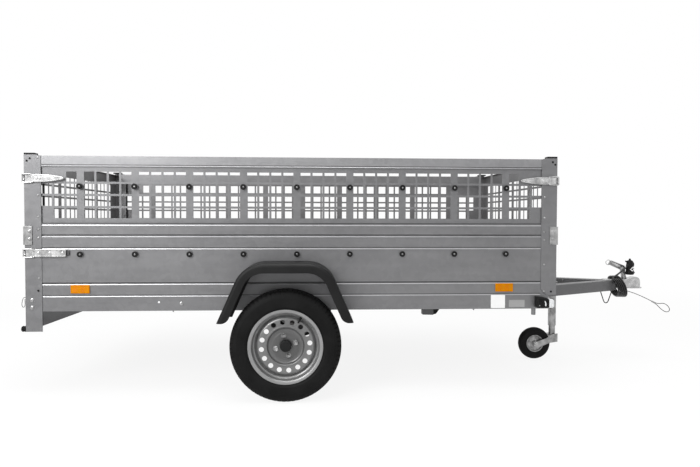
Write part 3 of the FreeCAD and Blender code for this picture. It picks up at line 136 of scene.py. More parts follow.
finishes = {}


class Finish:
    # a material with its shader, its Object coordinates and the three coordinates apart
    def __init__(self, name, colour, roughness=0.5, metallic=0.0, coat=0.0, specular=0.5):
        self.material = finishes[name] = bpy.data.materials.new(camel(name))
        self.material.use_nodes = True
        self.tree = self.material.node_tree
        self.shader = self.tree.nodes["Principled BSDF"]
        plain = {
            "Base Color": colour, "Roughness": roughness, "Metallic": metallic, "Coat Weight": coat,
            "Specular IOR Level": specular}
        for socket, value in plain.items():
            self.shader.inputs[socket].default_value = value
        start = Wire(self.tree)
        self.place = start.node("TexCoord", {}, {}, 3)
        axes = start.node("SeparateXYZ", {}, {"Vector": self.place})
        outputs = axes.socket.node.outputs
        self.x, self.y, self.z = (Wire(self.tree, outputs[index]) for index in range(3))

    def noise(self, scale, detail=2.0, stretch=(1, 1, 1)):
        place = self.place.node("Mapping", {}, {"Vector": self.place, "Scale": stretch})
        return place.node("TexNoise", {}, {"Vector": place, "Scale": scale, "Detail": detail})

    def cells(self, scale):
        # a random colour for each cell
        return self.place.node("TexVoronoi", {}, {"Vector": self.place, "Scale": scale}, 1)

    def feed(self, name, wire):
        self.tree.links.new(wire.socket, self.shader.inputs[name])

    def tone(self, wire, dark, light, low=0.3, high=0.7):
        # greys from dark to light, as the wire goes from low to high
        self.feed("Base Color", wire.ramp(low, high).blend(grey(dark), grey(light)))

    def bump(self, height, strength, distance):
        normal = height.node("Bump", {}, {"Height": height, "Strength": strength, "Distance": distance})
        self.feed("Normal", normal)


# finishes, by the name of a slot or one of their own
def sheetSteel(slot, dark, light):
    # galvanised sheet: clouds, faint spangle and long streaks
    steel = Finish(slot, grey(light), 0.42, 0.6)
    cloud = steel.noise(1.6, 3.0)
    spangle = steel.cells(42)
    speck = spangle.node("SeparateColor", {}, {"Color": spangle})
    streak = steel.noise(9, 3.0, (0.25, 1, 3))
    mottle = (cloud * 0.5 + speck * 0.14 + streak * 0.36).ramp(0.25, 0.75)
    steel.feed("Base Color", mottle.blend(grey(dark, 0.03), grey(light, 0.02)))
    steel.feed("Roughness", 0.34 + 0.08 * streak + 0.05 * speck)
    steel.bump(steel.noise(320, 1.0) * 0.5 + speck * 0.5, 0.06, 0.0003)


# the galvanised sheet, then darker copies of it as painted shade and lighter copies as painted
# highlights
sheetSteel("galvanised_steel", 0.15, 0.205)
sheetSteel("shaded_steel", 0.05, 0.075)
sheetSteel("arm_steel", 0.105, 0.143)
sheetSteel("fold_light", 0.32, 0.4)
sheetSteel("rail_light", 0.21, 0.29)

zinc = Finish("zinc_fittings", grey(0.5), 0.34, 0.8)
cloud = zinc.noise(26, 3.0)
zinc.tone(cloud, 0.22, 0.46, 0.35)
zinc.feed("Roughness", 0.2 + 0.2 * cloud)
zinc.bump(cloud * 0.6 + zinc.noise(240, 1.0) * 0.4, 0.2, 0.0008)

bright = Finish("bright_zinc", grey(0.66), 0.26, 0.75)
cloud = bright.noise(34, 3.0)
bright.tone(cloud, 0.3, 0.62)
bright.feed("Roughness", 0.16 + 0.16 * cloud)
bright.bump(bright.noise(260, 1.0), 0.12, 0.0005)

plywood = Finish("floor_plywood", (0.1, 0.06, 0.035, 1), 0.55)
weave = plywood.x.maths("SINE", plywood.x * 520) * plywood.y.maths("SINE", plywood.y * 520)
grain = plywood.noise(6, 4.0, (0.4, 3, 1))
plywood.feed(
    "Base Color", grain.ramp(0.3, 0.7).blend((0.075, 0.045, 0.028, 1), (0.125, 0.078, 0.046, 1)))
plywood.feed("Roughness", 0.5 + 0.15 * grain)
plywood.bump(weave, 0.35, 0.0006)


def moulded(slot, level, roughness, grainSize, strength, spread=0.3, shine=0.3, coat=0.0):
    finish = Finish(slot, grey(level), roughness, specular=shine, coat=coat)
    grain = finish.noise(grainSize, 2.0)
    finish.tone(finish.noise(7, 2.0), level * (1 - spread), level * (1 + spread))
    finish.feed("Roughness", roughness - 0.06 + 0.12 * grain)
    finish.bump(grain, strength, 0.0006)


moulded("black_plastic", 0.008, 0.48, 900, 0.3, shine=0.16)
moulded("black_rubber", 0.006, 0.6, 500, 0.3, shine=0.12)
moulded("cable_jacket", 0.003, 0.3, 700, 0.05, shine=0.2, coat=0.35)
# a near-black finish for painted shade
moulded("dark_hole", 0.004, 0.8, 400, 0.1)
moulded("white_plate", 0.78, 0.35, 300, 0.1, 0.03)
moulded("silver_label", 0.3, 0.4, 300, 0.1, 0.06)

axle = {"x": -0.4495, "z": 0.272}


def fromAxle(finish):
    # the distance from the wheels' axle
    across, up = finish.x - axle["x"], finish.z - axle["z"]
    return finish.x.maths("SQRT", across * across + up * up)


tyre = Finish("tyre_rubber", grey(0.006), 0.62, specular=0.1)
radius = fromAxle(tyre)
wall = tyre.noise(14, 3.0)
tyre.tone(wall, 0.004, 0.008)
tyre.feed("Roughness", 0.48 + 0.2 * wall)
rings = radius.maths("SINE", radius * 1400) * radius.above(0.195) * radius.below(0.24)
tyre.bump(rings * 0.5 + tyre.noise(420, 1.0) * 0.5, 0.3, 0.0006)

paint = Finish("silver_paint", grey(0.24), 0.32, 0.6, 0.1)
dust = paint.noise(9, 3.0)
# by the distance from the axle: painted shade on the inner disc and a painted highlight on the outer
# ring
reach = fromAxle(paint).ramp(0.0, 0.2)
ringShadeAndHighlight = reach.node(
    "ValToRGB",
    {"stops": [(0.3, grey(0.106)), (0.5, grey(0.17)), (0.66, grey(0.19)), (0.8, grey(0.28))]},
    {"Fac": reach})
dustTone = dust.ramp(0.3, 0.7).blend(grey(0.82), grey(1.0))
paint.feed(
    "Base Color",
    paint.x.node(
        "Mix", {"data_type": "RGBA", "blend_type": "MULTIPLY"}, {0: 1.0, 6: ringShadeAndHighlight, 7: dustTone}, 2))
paint.feed("Roughness", 0.28 + 0.14 * dust)
paint.bump(paint.noise(900, 1.0), 0.12, 0.0003)

rimMetal = Finish("jockey_rim_metal", grey(0.38), 0.32, 0.8)
turned = rimMetal.noise(60, 3.0)
rimMetal.tone(turned, 0.14, 0.42)
rimMetal.feed("Roughness", 0.24 + 0.22 * turned)


def lens(slot, dark, light, pitch):
    # a moulded lens: small prisms on a square pattern
    finish = Finish(slot, light, 0.24, specular=0.1)
    wave = 6.283 / pitch
    prism = finish.x.maths("SINE", finish.x * wave) * finish.z.maths("SINE", finish.z * wave)
    finish.feed("Base Color", prism.ramp(-0.8, 0.8).blend(dark, light))
    finish.bump(prism, 0.35, 0.0008)


lens("amber_lens", (0.47, 0.155, 0.0, 1), (0.58, 0.215, 0.0, 1), 0.006)
lens("amber_field", (0.46, 0.13, 0.0, 1), (0.62, 0.2, 0.0, 1), 0.004)
lens("red_lens", (0.3, 0.01, 0.01, 1), (0.6, 0.03, 0.02, 1), 0.008)
lens("white_lens", (0.55, 0.56, 0.57, 1), (0.85, 0.86, 0.87, 1), 0.006)

strand = Finish("wire_rope", grey(0.05), 0.5, 0.2, specular=0.2)
twist = strand.noise(500, 1.0)
strand.tone(twist, 0.012, 0.05)
strand.bump(twist, 0.5, 0.0005)

# finishes that a slot of the record stands for
slotOf = {part["node"]: part["material_slot"] for part in frame["record"]["subparts"]}
for name, slot in slotOf.items():
    nodes[name].data.materials.clear()
    nodes[name].data.materials.append(finishes[slot])
print("finishes ready")

# floor, backdrop and lights
studio = {"floor": 30, "shadow": 0.12, "fade": (2.4, 5.5), "world": 0.5}


def seenRays(tree):
    # 1 for the camera's rays and for those that mirrors and glass send on, else 0
    sockets = Wire(tree).node("LightPath").socket.node.outputs
    camera, glossy, through = (
        Wire(tree, sockets[name]) for name in ("Is Camera Ray", "Is Glossy Ray", "Is Transmission Ray"))
    return camera.maths("MINIMUM", camera + glossy + through, 1.0)


def mixInto(tree, output, factor, plain, white):
    mixed = factor.node("MixShader", {}, {0: factor, 1: plain, 2: white})
    tree.links.new(mixed.socket, tree.nodes[output].inputs["Surface"])


# the ground is seen white, and keeps a share of the shadow near the trailer
ground = Finish("ground_sheet", grey(0.8), 0.9)
ground.feed("Base Color", ground.noise(3, 2.0).blend(grey(0.79), grey(0.82)))
away = ground.place.node(
    "VectorMath", {"operation": "LENGTH"}, {0: ground.place}, 1).ramp(*studio["fade"])
white = ground.place.node("Emission", {}, {"Color": (1, 1, 1, 1), "Strength": 1.0})
mixInto(
    ground.tree, "Material Output", seenRays(ground.tree) * (1 - studio["shadow"] * (1 - away)),
    Wire(ground.tree, ground.shader.outputs[0]), white)
bpy.ops.mesh.primitive_plane_add(size=studio["floor"], location=(0, 0, 0))
floor = bpy.context.object
floor.name = "ground"
floor.data.materials.append(ground.material)

world = bpy.data.worlds.new("studio")
scene.world = world
world.use_nodes = True
air = Wire(world.node_tree)
heading = air.node("TexCoord", {}, {}, 0)
heights = air.node("SeparateXYZ", {}, {"Vector": heading})
height = Wire(world.node_tree, heights.socket.node.outputs[2]).ramp(-0.05, 0.75)
plain = air.node(
    "Background", {}, {"Color": (1, 1, 1, 1), "Strength": studio["world"] * (0.3 + 1.3 * height)})
white = air.node("Background", {}, {"Color": (1, 1, 1, 1), "Strength": 1.0})
mixInto(world.node_tree, "World Output", seenRays(world.node_tree), plain, white)

lamps = {
    "keyLamp": {"place": (-3.2, -4.1, 2.9), "aim": (-0.9, -0.6, 0.7), "size": 2.2, "power": 165},
    "fillLamp": {"place": (3.6, -3.8, 2.2), "aim": (0.8, 0, 0.6), "size": 2.6, "power": 4},
    "topLamp": {"place": (-0.4, -0.9, 4.2), "aim": (0, -0.2, 0), "size": 3.2, "power": 150}}
for name, lamp in lamps.items():
    bpy.ops.object.light_add(type="AREA", location=lamp["place"])
    made = bpy.context.object
    made.name = name
    made.data.size = lamp["size"]
    made.data.energy = lamp["power"]
    aim = Vector(lamp["aim"]) - Vector(lamp["place"])
    made.rotation_euler = aim.to_track_quat("-Z", "Y").to_euler()
print("studio ready")


# modelling steps that the pieces share
def leave():
    # out of edit mode
    bpy.ops.object.mode_set(mode="OBJECT")


def selectAll():
    bpy.ops.mesh.select_all(action="SELECT")


def deselect():
    if bpy.context.mode != "OBJECT":
        leave()
    bpy.ops.object.select_all(action="DESELECT")


def choose(*pieces):
    deselect()
    for piece in pieces:
        piece.select_set(True)
    bpy.context.view_layer.objects.active = pieces[0]
    return pieces[0]


def start(shape, name, **settings):
    # a primitive, with its place, turn and scale put into the mesh
    deselect()
    getattr(bpy.ops.mesh, "primitive_" + shape + "_add")(**settings)
    piece = choose(bpy.context.object)
    piece.name = piece.data.name = name
    bpy.ops.object.transform_apply(location=True, rotation=True, scale=True)
    return piece


def edit(piece, kind="FACE"):
    choose(piece)
    bpy.ops.object.mode_set(mode="EDIT")
    bpy.ops.mesh.select_mode(type=kind)
    selectAll()


def pick(kind, test):
    # in edit mode: selects what passes; faces and points give place and normal, edges place and run
    bpy.ops.mesh.select_mode(type=kind)
    bpy.ops.mesh.select_all(action="DESELECT")
    mesh = bmesh.from_edit_mesh(bpy.context.object.data)
    if kind == "FACE":
        found = [face for face in mesh.faces if test(face.calc_center_median(), face.normal)]
    elif kind == "EDGE":
        found = [
            edge for edge in mesh.edges
            if test((edge.verts[0].co + edge.verts[1].co) / 2, edge.verts[1].co - edge.verts[0].co)]
    else:
        found = [point for point in mesh.verts if test(point.co, point.normal)]
    for part in found:
        part.select_set(True)
    bmesh.update_edit_mesh(bpy.context.object.data)


def push(*move):
    bpy.ops.mesh.extrude_region_move(TRANSFORM_OT_translate={"value": move})


def trace(name, points, closed=False):
    # a line of edges drawn point by point from one vertex, closed with a face when asked
    start("plane", name, size=0.01, location=points[0])
    edit(bpy.context.object, "VERT")
    bpy.ops.mesh.merge(type="CENTER")
    for before, after in zip(points, points[1:]):
        bpy.ops.mesh.extrude_vertices_move(
            TRANSFORM_OT_translate={"value": tuple(b - a for a, b in zip(before, after))})
    if closed:
        ends = [Vector(points[0]), Vector(points[-1])]
        pick("VERT", lambda place, normal: min((place - end).length for end in ends) < 1e-6)
        bpy.ops.mesh.edge_face_add()
        selectAll()
        bpy.ops.mesh.edge_face_add()
    return bpy.context.object


def plate(name, points, low, high, axis="Y"):
    # a flat outline given in the two other axes, drawn at low and pulled out to high
    where = {
        "X": lambda a, b: (low, a, b), "Y": lambda a, b: (a, low, b), "Z": lambda a, b: (a, b, low)
    }[axis]
    piece = trace(name, [where(*point) for point in points], True)
    push(*((high - low) * (axis == name) for name in "XYZ"))
    selectAll()
    bpy.ops.mesh.normals_make_consistent(inside=False)
    leave()
    return piece


def slab(name, left, right, bottom, top, low, high, axis="Y"):
    # a plate with straight edges
    return plate(name, [(left, bottom), (right, bottom), (right, top), (left, top)], low, high, axis)


def sunk(piece, rim, slope, depth, side=-1, facing=0.99):
    # the face of one side, or of both for 0, keeps a rim and is sunk inside it
    edit(piece)
    pick("FACE", lambda place, normal: (normal.y * side if side else abs(normal.y)) > facing)
    bpy.ops.mesh.inset(thickness=rim)
    bpy.ops.mesh.inset(thickness=slope, depth=depth)
    leave()
    return piece


def lathe(name, profile, centre, steps=48, closed=False, axis="Y"):
    # a profile of (radius, height along the axis) in mm, spun round the axis through the centre
    along = {"X": (1, 0, 0), "Y": (0, 1, 0), "Z": (0, 0, 1)}[axis]
    outward = (0, 0, 1) if axis == "X" else (1, 0, 0)
    points = [
        tuple(c + (r * o + h * a) / 1000 for c, o, a in zip(centre, outward, along)) for r, h in profile
    ]
    piece = trace(name, points + points[:1] if closed else points)
    selectAll()
    bpy.ops.mesh.spin(steps=steps, angle=2 * math.pi, center=centre, axis=along)
    selectAll()
    bpy.ops.mesh.remove_doubles(threshold=0.00002)
    bpy.ops.mesh.normals_make_consistent(inside=False)
    leave()
    return piece


def modify(piece, kind, **settings):
    choose(piece)
    modifier = piece.modifiers.new(kind.lower(), kind)
    for name, value in settings.items():
        setattr(modifier, name, value)
    bpy.ops.object.modifier_apply(modifier=modifier.name)
    return piece


def soften(piece, width, segments=2, angle=30):
    return modify(
        piece, "BEVEL", width=width, segments=segments, limit_method="ANGLE",
        angle_limit=math.radians(angle))


def bothSides(piece):
    return modify(piece, "MIRROR", use_axis=(False, True, False), use_mirror_merge=False)


def copied(piece, name, move):
    # a copy with its own mesh; the move is a matrix or a shift
    copy = piece.copy()
    copy.data = piece.data.copy()
    copy.name = copy.data.name = name
    copy.data.transform(move if isinstance(move, Matrix) else Matrix.Translation(move))
    scene.collection.objects.link(copy)
    return copy


def mirrored(piece, name, axis=(0, 1, 0), shift=0):
    # a copy with one axis turned round, then shifted along X
    other = copied(piece, name, Matrix.Translation((shift, 0, 0)) @ Matrix.Scale(-1, 4, axis))
    other.data.flip_normals()
    return other


def pointed(root, tip):
    # moves a piece that stands on the origin to the root, and leans it towards the tip
    return Matrix.Translation(root) @ (tip - root).to_track_quat("Z", "Y").to_matrix().to_4x4()


def joined(*pieces):
    if len(pieces) > 1:
        choose(*pieces)
        bpy.ops.object.join()
    return pieces[0]


def spread(piece, moves):
    # the piece copied to each move, and the copies joined in its stead
    name = piece.name
    copies = [copied(piece, name + "Copy", move) for move in moves]
    bpy.data.objects.remove(piece)
    whole = joined(*copies)
    whole.name = whole.data.name = name
    return whole


def bentLine(name, points, radius, roundness, resolution, cyclic=False):
    # a curve of round section along the points
    data = bpy.data.curves.new(name, "CURVE")
    data.dimensions = "3D"
    data.bevel_depth = radius
    data.bevel_resolution = roundness
    data.resolution_u = resolution
    spline = data.splines.new("NURBS")
    spline.points.add(len(points) - 1)
    for point, place in zip(spline.points, points):
        point.co = (*place, 1)
    spline.order_u = 3
    spline.use_endpoint_u = not cyclic
    spline.use_cyclic_u = cyclic
    piece = bpy.data.objects.new(name, data)
    scene.collection.objects.link(piece)
    return piece


def wireOf(name, points, radius, resolution=6, cyclic=False):
    # a bent rod, its ends closed, made a mesh
    rod = choose(bentLine(name, points, radius, 3, resolution, cyclic))
    rod.data.use_fill_caps = True
    bpy.ops.object.convert(target="MESH")
    return bpy.context.object


bodyOf = {
    node: body for body, names in frame["record"]["behaviour"]["bodies"].items() for node in names}


def finished(piece, finish, replaces=(), smooth=32, body="chassis", slot=None):
    choose(piece)
    bpy.ops.object.shade_smooth_by_angle(angle=math.radians(smooth))
    modify(piece, "WEIGHTED_NORMAL", keep_sharp=True)
    piece.data.materials.clear()
    piece.data.materials.append(finishes[finish])
    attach(piece, body)
    if replaces:
        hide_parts(*replaces)
    return piece


def paired(piece, *settings, **named):
    # finishes the piece with its mirror image on the left side
    return finished(bothSides(piece), *settings, **named)


def fromNode(node, name):
    # a copy of a CAD node with its loose triangles merged into clean faces
    piece = copied(nodes[node], name, (0, 0, 0))
    edit(piece, "VERT")
    bpy.ops.mesh.remove_doubles(threshold=0.00002)
    bpy.ops.mesh.dissolve_limited(angle_limit=math.radians(0.8))
    leave()
    return piece


# plain pressed and welded parts keep the frame's shape and get rounded edges, by node
edgeRadius = {
    "side_rails": 0.0009, "crossmembers": 0.0012, "side_walls": 0.0006, "mesh_sides": 0.0005,
    "rear_posts": 0.0009, "front_posts": 0.0009, "front_wall": 0.0006, "rear_light_board": 0.0006,
    "torsion_axle": 0.003, "axle_brackets": 0.0015, "drawbar_arm_right": 0.004,
    "drawbar_arm_left": 0.004, "drawbar_crossbar": 0.003, "tailgate": 0.0006, "rear_mesh_gate": 0.0005,
    "front_mesh_gate": 0.0005, "tailgate_ears": 0.001, "tailgate_hinges": 0.001,
    "rear_hinge_plates": 0.0015, "rear_gate_ears": 0.001, "front_hinge_plates": 0.0015,
    "front_gate_ears": 0.001, "jockey_clamp": 0.0015, "jockey_tube": 0.0006, "jockey_crank": 0.0015,
    "jockey_leg": 0.001, "floor_panel": 0.001, "post_caps": 0.002, "number_plate_blank": 0.0008}
# these parts get a darker copy of the sheet finish, as painted shade
darker = {
    "rear_light_board": "shaded_steel", "drawbar_arm_right": "arm_steel",
    "drawbar_arm_left": "arm_steel"}
for node, width in edgeRadius.items():
    piece = soften(fromNode(node, camel(node) + "Rounded"), width, 2)
    finished(piece, darker.get(node, slotOf[node]), (node,), 30, bodyOf[node], slotOf[node])
print("pressed parts ready")


# wheels: tyres with cut tread, silver rims with round vents, bolts, caps and valves
wheel = {
    "treadSteps": 288, "pitch": 4, "grooveDepth": 0.0038, "shoulder": (0.2535, 0.0448),
    "rib": (0.27, 0.0195, 0.0367), "rimSteps": 96, "ventRadius": 0.0122, "ventCircle": 0.118,
    "ventTurn": 7.3, "vents": 16, "boltCircle": 0.0505, "boltAngles": (16.5, 104, 196.5, 284),
    "valveAngle": 62, "valveRoot": (0.158, 0.045), "valveTip": (0.129, 0.057)}
tyreSide = [
    (166.4, 64), (170, 65.5), (178, 65.8), (183.2, 66), (185.8, 67), (188, 69.4), (190.5, 71.6),
    (194.5, 73.4), (196.2, 74.2), (197.5, 73.9), (205, 75.3), (216, 76.2), (228, 76), (235, 75.2),
    (236.2, 75.5), (237.6, 74.6), (244, 73.3), (250, 71.1), (251.2, 70), (256, 67.6), (261, 64.1),
    (265.2, 59.8), (268.2, 55.3), (269.9, 50.5), (270.6, 45.5), (270.4, 44), (264, 43.5), (264, 37.2),
    (271.2, 36.7), (271.8, 19.5), (265, 19), (265, 12.5), (271.9, 12)]
rimProfile = [
    (181.5, 66.4), (181.9, 68), (181.2, 68.8), (179, 69), (176.5, 68.9), (174.5, 68.6), (171.2, 68),
    (168, 66.8), (165.5, 64.8), (163.8, 62), (162.8, 58), (162.2, 50), (161.2, 44), (159.5, 40),
    (156, 37.4), (153, 35.6), (151.2, 33.4), (150, 30), (148.5, 28.5), (146.8, 29.2), (145, 32),
    (142.5, 36.8), (139.2, 41.2), (135, 44.2), (130, 45.7), (124, 46.2), (112, 46.2), (105, 45.8),
    (101, 45.8), (98.5, 46.8), (95.8, 47.6), (93, 47.2), (90.5, 45.2), (88.5, 41.5), (86.8, 37),
    (83.8, 33.8), (79, 32.2), (70, 31.8), (65.5, 33), (62, 34.5), (40, 34.5), (35, 33.4), (30, 33.4),
    (28.6, 32.6), (28.6, 30.2), (70, 28.8), (80, 29.2), (86.5, 33), (89.5, 40), (93.5, 44), (101, 42.8),
    (130, 42.8), (138.5, 37.5), (144, 27.5), (145.2, 25.5), (146.8, 20), (146.8, -12), (150, -20),
    (162.8, -30), (163, -56), (169, -60), (173.5, -65), (179, -68.8), (181.7, -68), (181.2, -66.4),
    (170, -65.5), (165.5, -64), (165.2, -45), (164, -33), (151, -25), (149, -12), (149, 20), (155, 29),
    (161.8, 34.5), (164.2, 42), (165.2, 52), (165.6, 60), (167.2, 63.6), (171, 65.7)]
hubProfile = [
    (15.2, -77), (32.5, -77), (34, -75.5), (34, 18), (36, 21), (65, 21), (66, 22), (66, 28.5),
    (28, 28.5), (28, 30), (15.2, 30)]
capProfile = [
    (0, 30), (27.8, 30), (28, 45), (27.6, 49.2), (26.2, 51), (24, 51.9), (22.2, 51.9), (21.6, 50.9),
    (12, 51.3), (0, 51.5)]
low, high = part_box("tyre_right")
hubPlace = (low + high) / 2


def atWheel(radius, degrees, out):
    # a point of the right wheel from its middle
    angle = math.radians(degrees)
    return hubPlace + Vector((radius * math.cos(angle), -out, radius * math.sin(angle)))


def outward(profile):
    return [(radius, -across) for radius, across in profile]


def bothFaces(profile):
    # from the outer face over the tread to the inner one
    return outward(profile) + profile[::-1]


def cutTread(place, normal):
    # shoulder grooves every pitch, and short slots in the middle ribs between them
    across = abs(place.y - hubPlace.y)
    radius = math.hypot(place.x - hubPlace.x, place.z - hubPlace.z)
    angle = math.atan2(place.z - hubPlace.z, place.x - hubPlace.x) / (2 * math.pi) % 1
    step = int(angle * wheel["treadSteps"]) % wheel["pitch"]
    if step == 0:
        return radius > wheel["shoulder"][0] and across > wheel["shoulder"][1]
    return step == 2 and radius > wheel["rib"][0] and wheel["rib"][1] < across < wheel["rib"][2]


tyreRight = lathe("tyreRight", bothFaces(tyreSide), hubPlace, wheel["treadSteps"], True)
edit(tyreRight)
pick("FACE", cutTread)
bpy.ops.mesh.extrude_region_shrink_fatten(TRANSFORM_OT_shrink_fatten={"value": -wheel["grooveDepth"]})
leave()

rimRight = lathe("rimRight", outward(rimProfile), hubPlace, wheel["rimSteps"], True)
drills = []
for number in range(wheel["vents"]):
    place = atWheel(wheel["ventCircle"], wheel["ventTurn"] + number * 360 / wheel["vents"], 0.044)
    hole = start(
        "cylinder", "drill", vertices=24, radius=wheel["ventRadius"], depth=0.02, location=place,
        rotation=(math.pi / 2, 0, 0))
    drills.append(hole)
drill = joined(*drills)
modify(rimRight, "BOOLEAN", operation="DIFFERENCE", object=drill, solver="EXACT")
bpy.data.objects.remove(drill)

hubRight = lathe("hubRight", outward(hubProfile), hubPlace, 48, True)
capRight = lathe("hubCapRight", outward(capProfile), hubPlace, 48)
bolts = []
for angle in wheel["boltAngles"]:
    place = atWheel(wheel["boltCircle"], angle, 0.04)
    bolt = start(
        "cylinder", "wheelBolt", vertices=6, radius=0.0098, depth=0.0125, location=place,
        rotation=(math.pi / 2, 0, math.radians(angle)))
    sunk(bolt, 0.0018, 0.0012, -0.0022, facing=0.9)
    seat = lathe(
        "boltSeat", [(0, 0), (14.8, 0), (14.2, -1.2), (11.2, -4.2), (0, -4.4)],
        atWheel(wheel["boltCircle"], angle, 0.0338), 24)
    bolts += [soften(bolt, 0.0009, 2), seat]
boltsRight = joined(*bolts)
boltsRight.name = "wheelBoltsRight"

root, tip = (
    atWheel(radius, wheel["valveAngle"], out) for radius, out in (wheel["valveRoot"], wheel["valveTip"])
)
valveRight = lathe(
    "valveRight",
    [
        (0, 0), (6.8, 0), (6.8, 5), (4.8, 10), (4.4, 19), (3.6, 21), (4, 21.5), (4, 30), (3.4, 31.2),
        (0, 31.4)],
    (0, 0, 0), 20, axis="Z")
valveRight.data.transform(pointed(root, tip))

wheelPieces = (
    (tyreRight, "tyre_rubber", ("tyre",), 38), (rimRight, "silver_paint", ("rim",), 40),
    (hubRight, "zinc_fittings", ("hub",), 30), (capRight, "black_plastic", (), 30),
    (boltsRight, "zinc_fittings", (), 30), (valveRight, "black_rubber", (), 40))
for piece, finish, kinds, smooth in wheelPieces:
    other = mirrored(piece, piece.name.replace("Right", "Left"))
    finished(piece, finish, [kind + "_right" for kind in kinds], smooth, "wheel_right")
    finished(other, finish, [kind + "_left" for kind in kinds], smooth, "wheel_left")
print("wheels ready")

# mudguards: a rolled section drawn along the arch and cut off level at its feet
guard = {
    "flat": 0.104, "corner": 0.15, "legAngle": 66, "legLength": 0.26, "foot": 0.39, "top": 0.676,
    "sheet": 0.003, "footRound": 0.026, "steps": 16,
    "section": [
        (0.845, 0.046), (0.845, 0.019), (0.844, 0.0125), (0.8412, 0.0066), (0.8366, 0.0026),
        (0.831, 0.0006), (0.825, 0.0), (0.658, 0.0), (0.651, 0.001), (0.647, 0.0045), (0.6458, 0.01),
        (0.6458, 0.046)]}
lean = math.radians(guard["legAngle"])
centreZ = guard["top"] - guard["corner"]
bend = Vector((hubPlace.x + guard["flat"], 0, centreZ))
normal = Vector((math.sin(lean), 0, math.cos(lean)))
along = Vector((math.cos(lean), 0, -math.sin(lean)))
footPlace = bend + normal * guard["corner"] + along * guard["legLength"]
guardRight = trace(
    "mudguardRight",
    [tuple(footPlace - normal * depth + Vector((0, -across, 0))) for across, depth in guard["section"]])
selectAll()
push(*(-along * guard["legLength"]))
bpy.ops.mesh.spin(steps=guard["steps"], angle=lean, center=bend, axis=(0, 1, 0))
push(-2 * guard["flat"], 0, 0)
bpy.ops.mesh.spin(
    steps=guard["steps"], angle=lean, center=bend - Vector((2 * guard["flat"], 0, 0)), axis=(0, 1, 0))
push(-along.x * guard["legLength"], 0, along.z * guard["legLength"])
selectAll()
bpy.ops.mesh.remove_doubles(threshold=0.00002)
bpy.ops.mesh.bisect(plane_co=(0, 0, guard["foot"]), plane_no=(0, 0, 1), clear_inner=True)
inner = guard["corner"] - guard["section"][0][1]
reach = (centreZ + normal.z * inner - guard["foot"]) / math.sin(lean)
lipEnd = bend.x + normal.x * inner + along.x * reach - hubPlace.x


def atFeet(place, normal):
    # the outer corners of both feet
    if place.z > guard["foot"] + 1e-4 or place.y > 0.0005 - guard["section"][0][0]:
        return False
    return abs(abs(place.x - hubPlace.x) - lipEnd) < 0.003


pick("VERT", atFeet)
bpy.ops.mesh.bevel(offset=guard["footRound"], segments=6, affect="VERTICES")
selectAll()
bpy.ops.mesh.normals_make_consistent(inside=False)
leave()
if max(guardRight.data.polygons, key=lambda face: face.center.z).normal.z < 0:
    guardRight.data.flip_normals()
guardRight = modify(guardRight, "SOLIDIFY", thickness=guard["sheet"], offset=-1)
guardRight = soften(guardRight, 0.0007, 2, 50)
guardLeft = mirrored(guardRight, "mudguardLeft")
finished(guardRight, "black_plastic", ("mudguard_right",), 40)
finished(guardLeft, "black_plastic", ("mudguard_left",), 40)
print("mudguards ready")


# rivets, bolts, a plug, and dark discs painted as the shade in the posts' holes, turned once each and
# set where the photograph has them
def lug(name, profile, finish, places, steps=20, smooth=40):
    # a small turned fitting on the right side's faces, and the same on the left
    piece = lathe(name, [(radius, -out) for radius, out in profile], (0, 0, 0), steps)
    piece = spread(piece, [(x, -face[where], z) for x, where, z in places])
    return paired(piece, finish, (), smooth)


# how far the side's faces stand out from the middle
face = {"wall": 0.645, "post": 0.648, "leaf": 0.653, "rail": 0.6465, "lamp": 0.6856}


def standing(where, out, sink=0.0002):
    # from just inside a face of the right side to so far out of it
    return sink - face[where], -face[where] - out


rearScrews = [(-1.6835, "post", z) for z in (1.192, 1.005, 0.898, 0.834, 0.793, 0.59)]
frontScrews = [(0.885, "post", z) for z in (1.004, 0.897, 0.823, 0.781, 0.653, 0.513)]
lug(
    "postRivets", [(0, 0), (5.2, 0), (5, 1.2), (3.6, 2.4), (1.8, 2.9), (0, 3)], "zinc_fittings",
    rearScrews + frontScrews)
lug(
    "railPlug", [(0, 0), (5, 0), (4.9, 1), (3.6, 1.6), (0, 1.8)], "white_plate",
    [(-1.0951, "wall", 0.4668)])
boltHead = [
    (0, 0), (9.8, 0), (9.6, 1.2), (8, 1.8), (7.6, 4.8), (5.8, 6), (3, 6.2), (2.6, 4.6), (0, 4.6)]
lug(
    "postBolts", boltHead, "zinc_fittings",
    [
        (-1.724, "leaf", 0.8255), (-1.725, "leaf", 0.7856), (-1.718, "post", 0.481),
        (-1.718, "post", 0.443), (0.927, "leaf", 0.826), (0.928, "leaf", 0.7865),
        (-0.9821, "rail", 0.4601)])
lug(
    "holePlugs", [(0, 0), (5.6, 0), (5.3, 1), (4, 1.3), (3.6, 0.4), (0, 0.4)], "dark_hole",
    [
        (-1.721, "post", 1.187), (-1.736, "post", 1.175), (-1.687, "post", 0.528),
        (0.9255, "post", 1.186), (0.9385, "post", 1.173), (0.923, "post", 0.512)])

# tarpaulin hooks: black mushrooms, each held by a screw
hooks = {"first": -1.48, "pitch": 0.27, "count": 9, "levels": (1.05, 0.71)}
hookPlaces = [
    (hooks["first"] + hooks["pitch"] * number, "wall", level) for level in hooks["levels"]
    for number in range(hooks["count"])]
hookPiece = lug(
    "tarpHooks",
    [
        (0, -5), (10.4, -5), (10.4, 3), (8.4, 4.8), (8.2, 7), (13.8, 8.4), (14.9, 9.8), (14.8, 11.8),
        (13.2, 13.4), (8.8, 13.8), (6.4, 12.6), (5.4, 11.2), (0, 11.2)],
    "black_plastic", hookPlaces, 28, 45)
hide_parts("tarp_hooks")
lug(
    "hookScrews", [(0, 11), (4.4, 11), (4.2, 12.4), (3.2, 13.3), (1.9, 13.6), (1.6, 12.2), (0, 12.2)],
    "zinc_fittings", hookPlaces, 14)
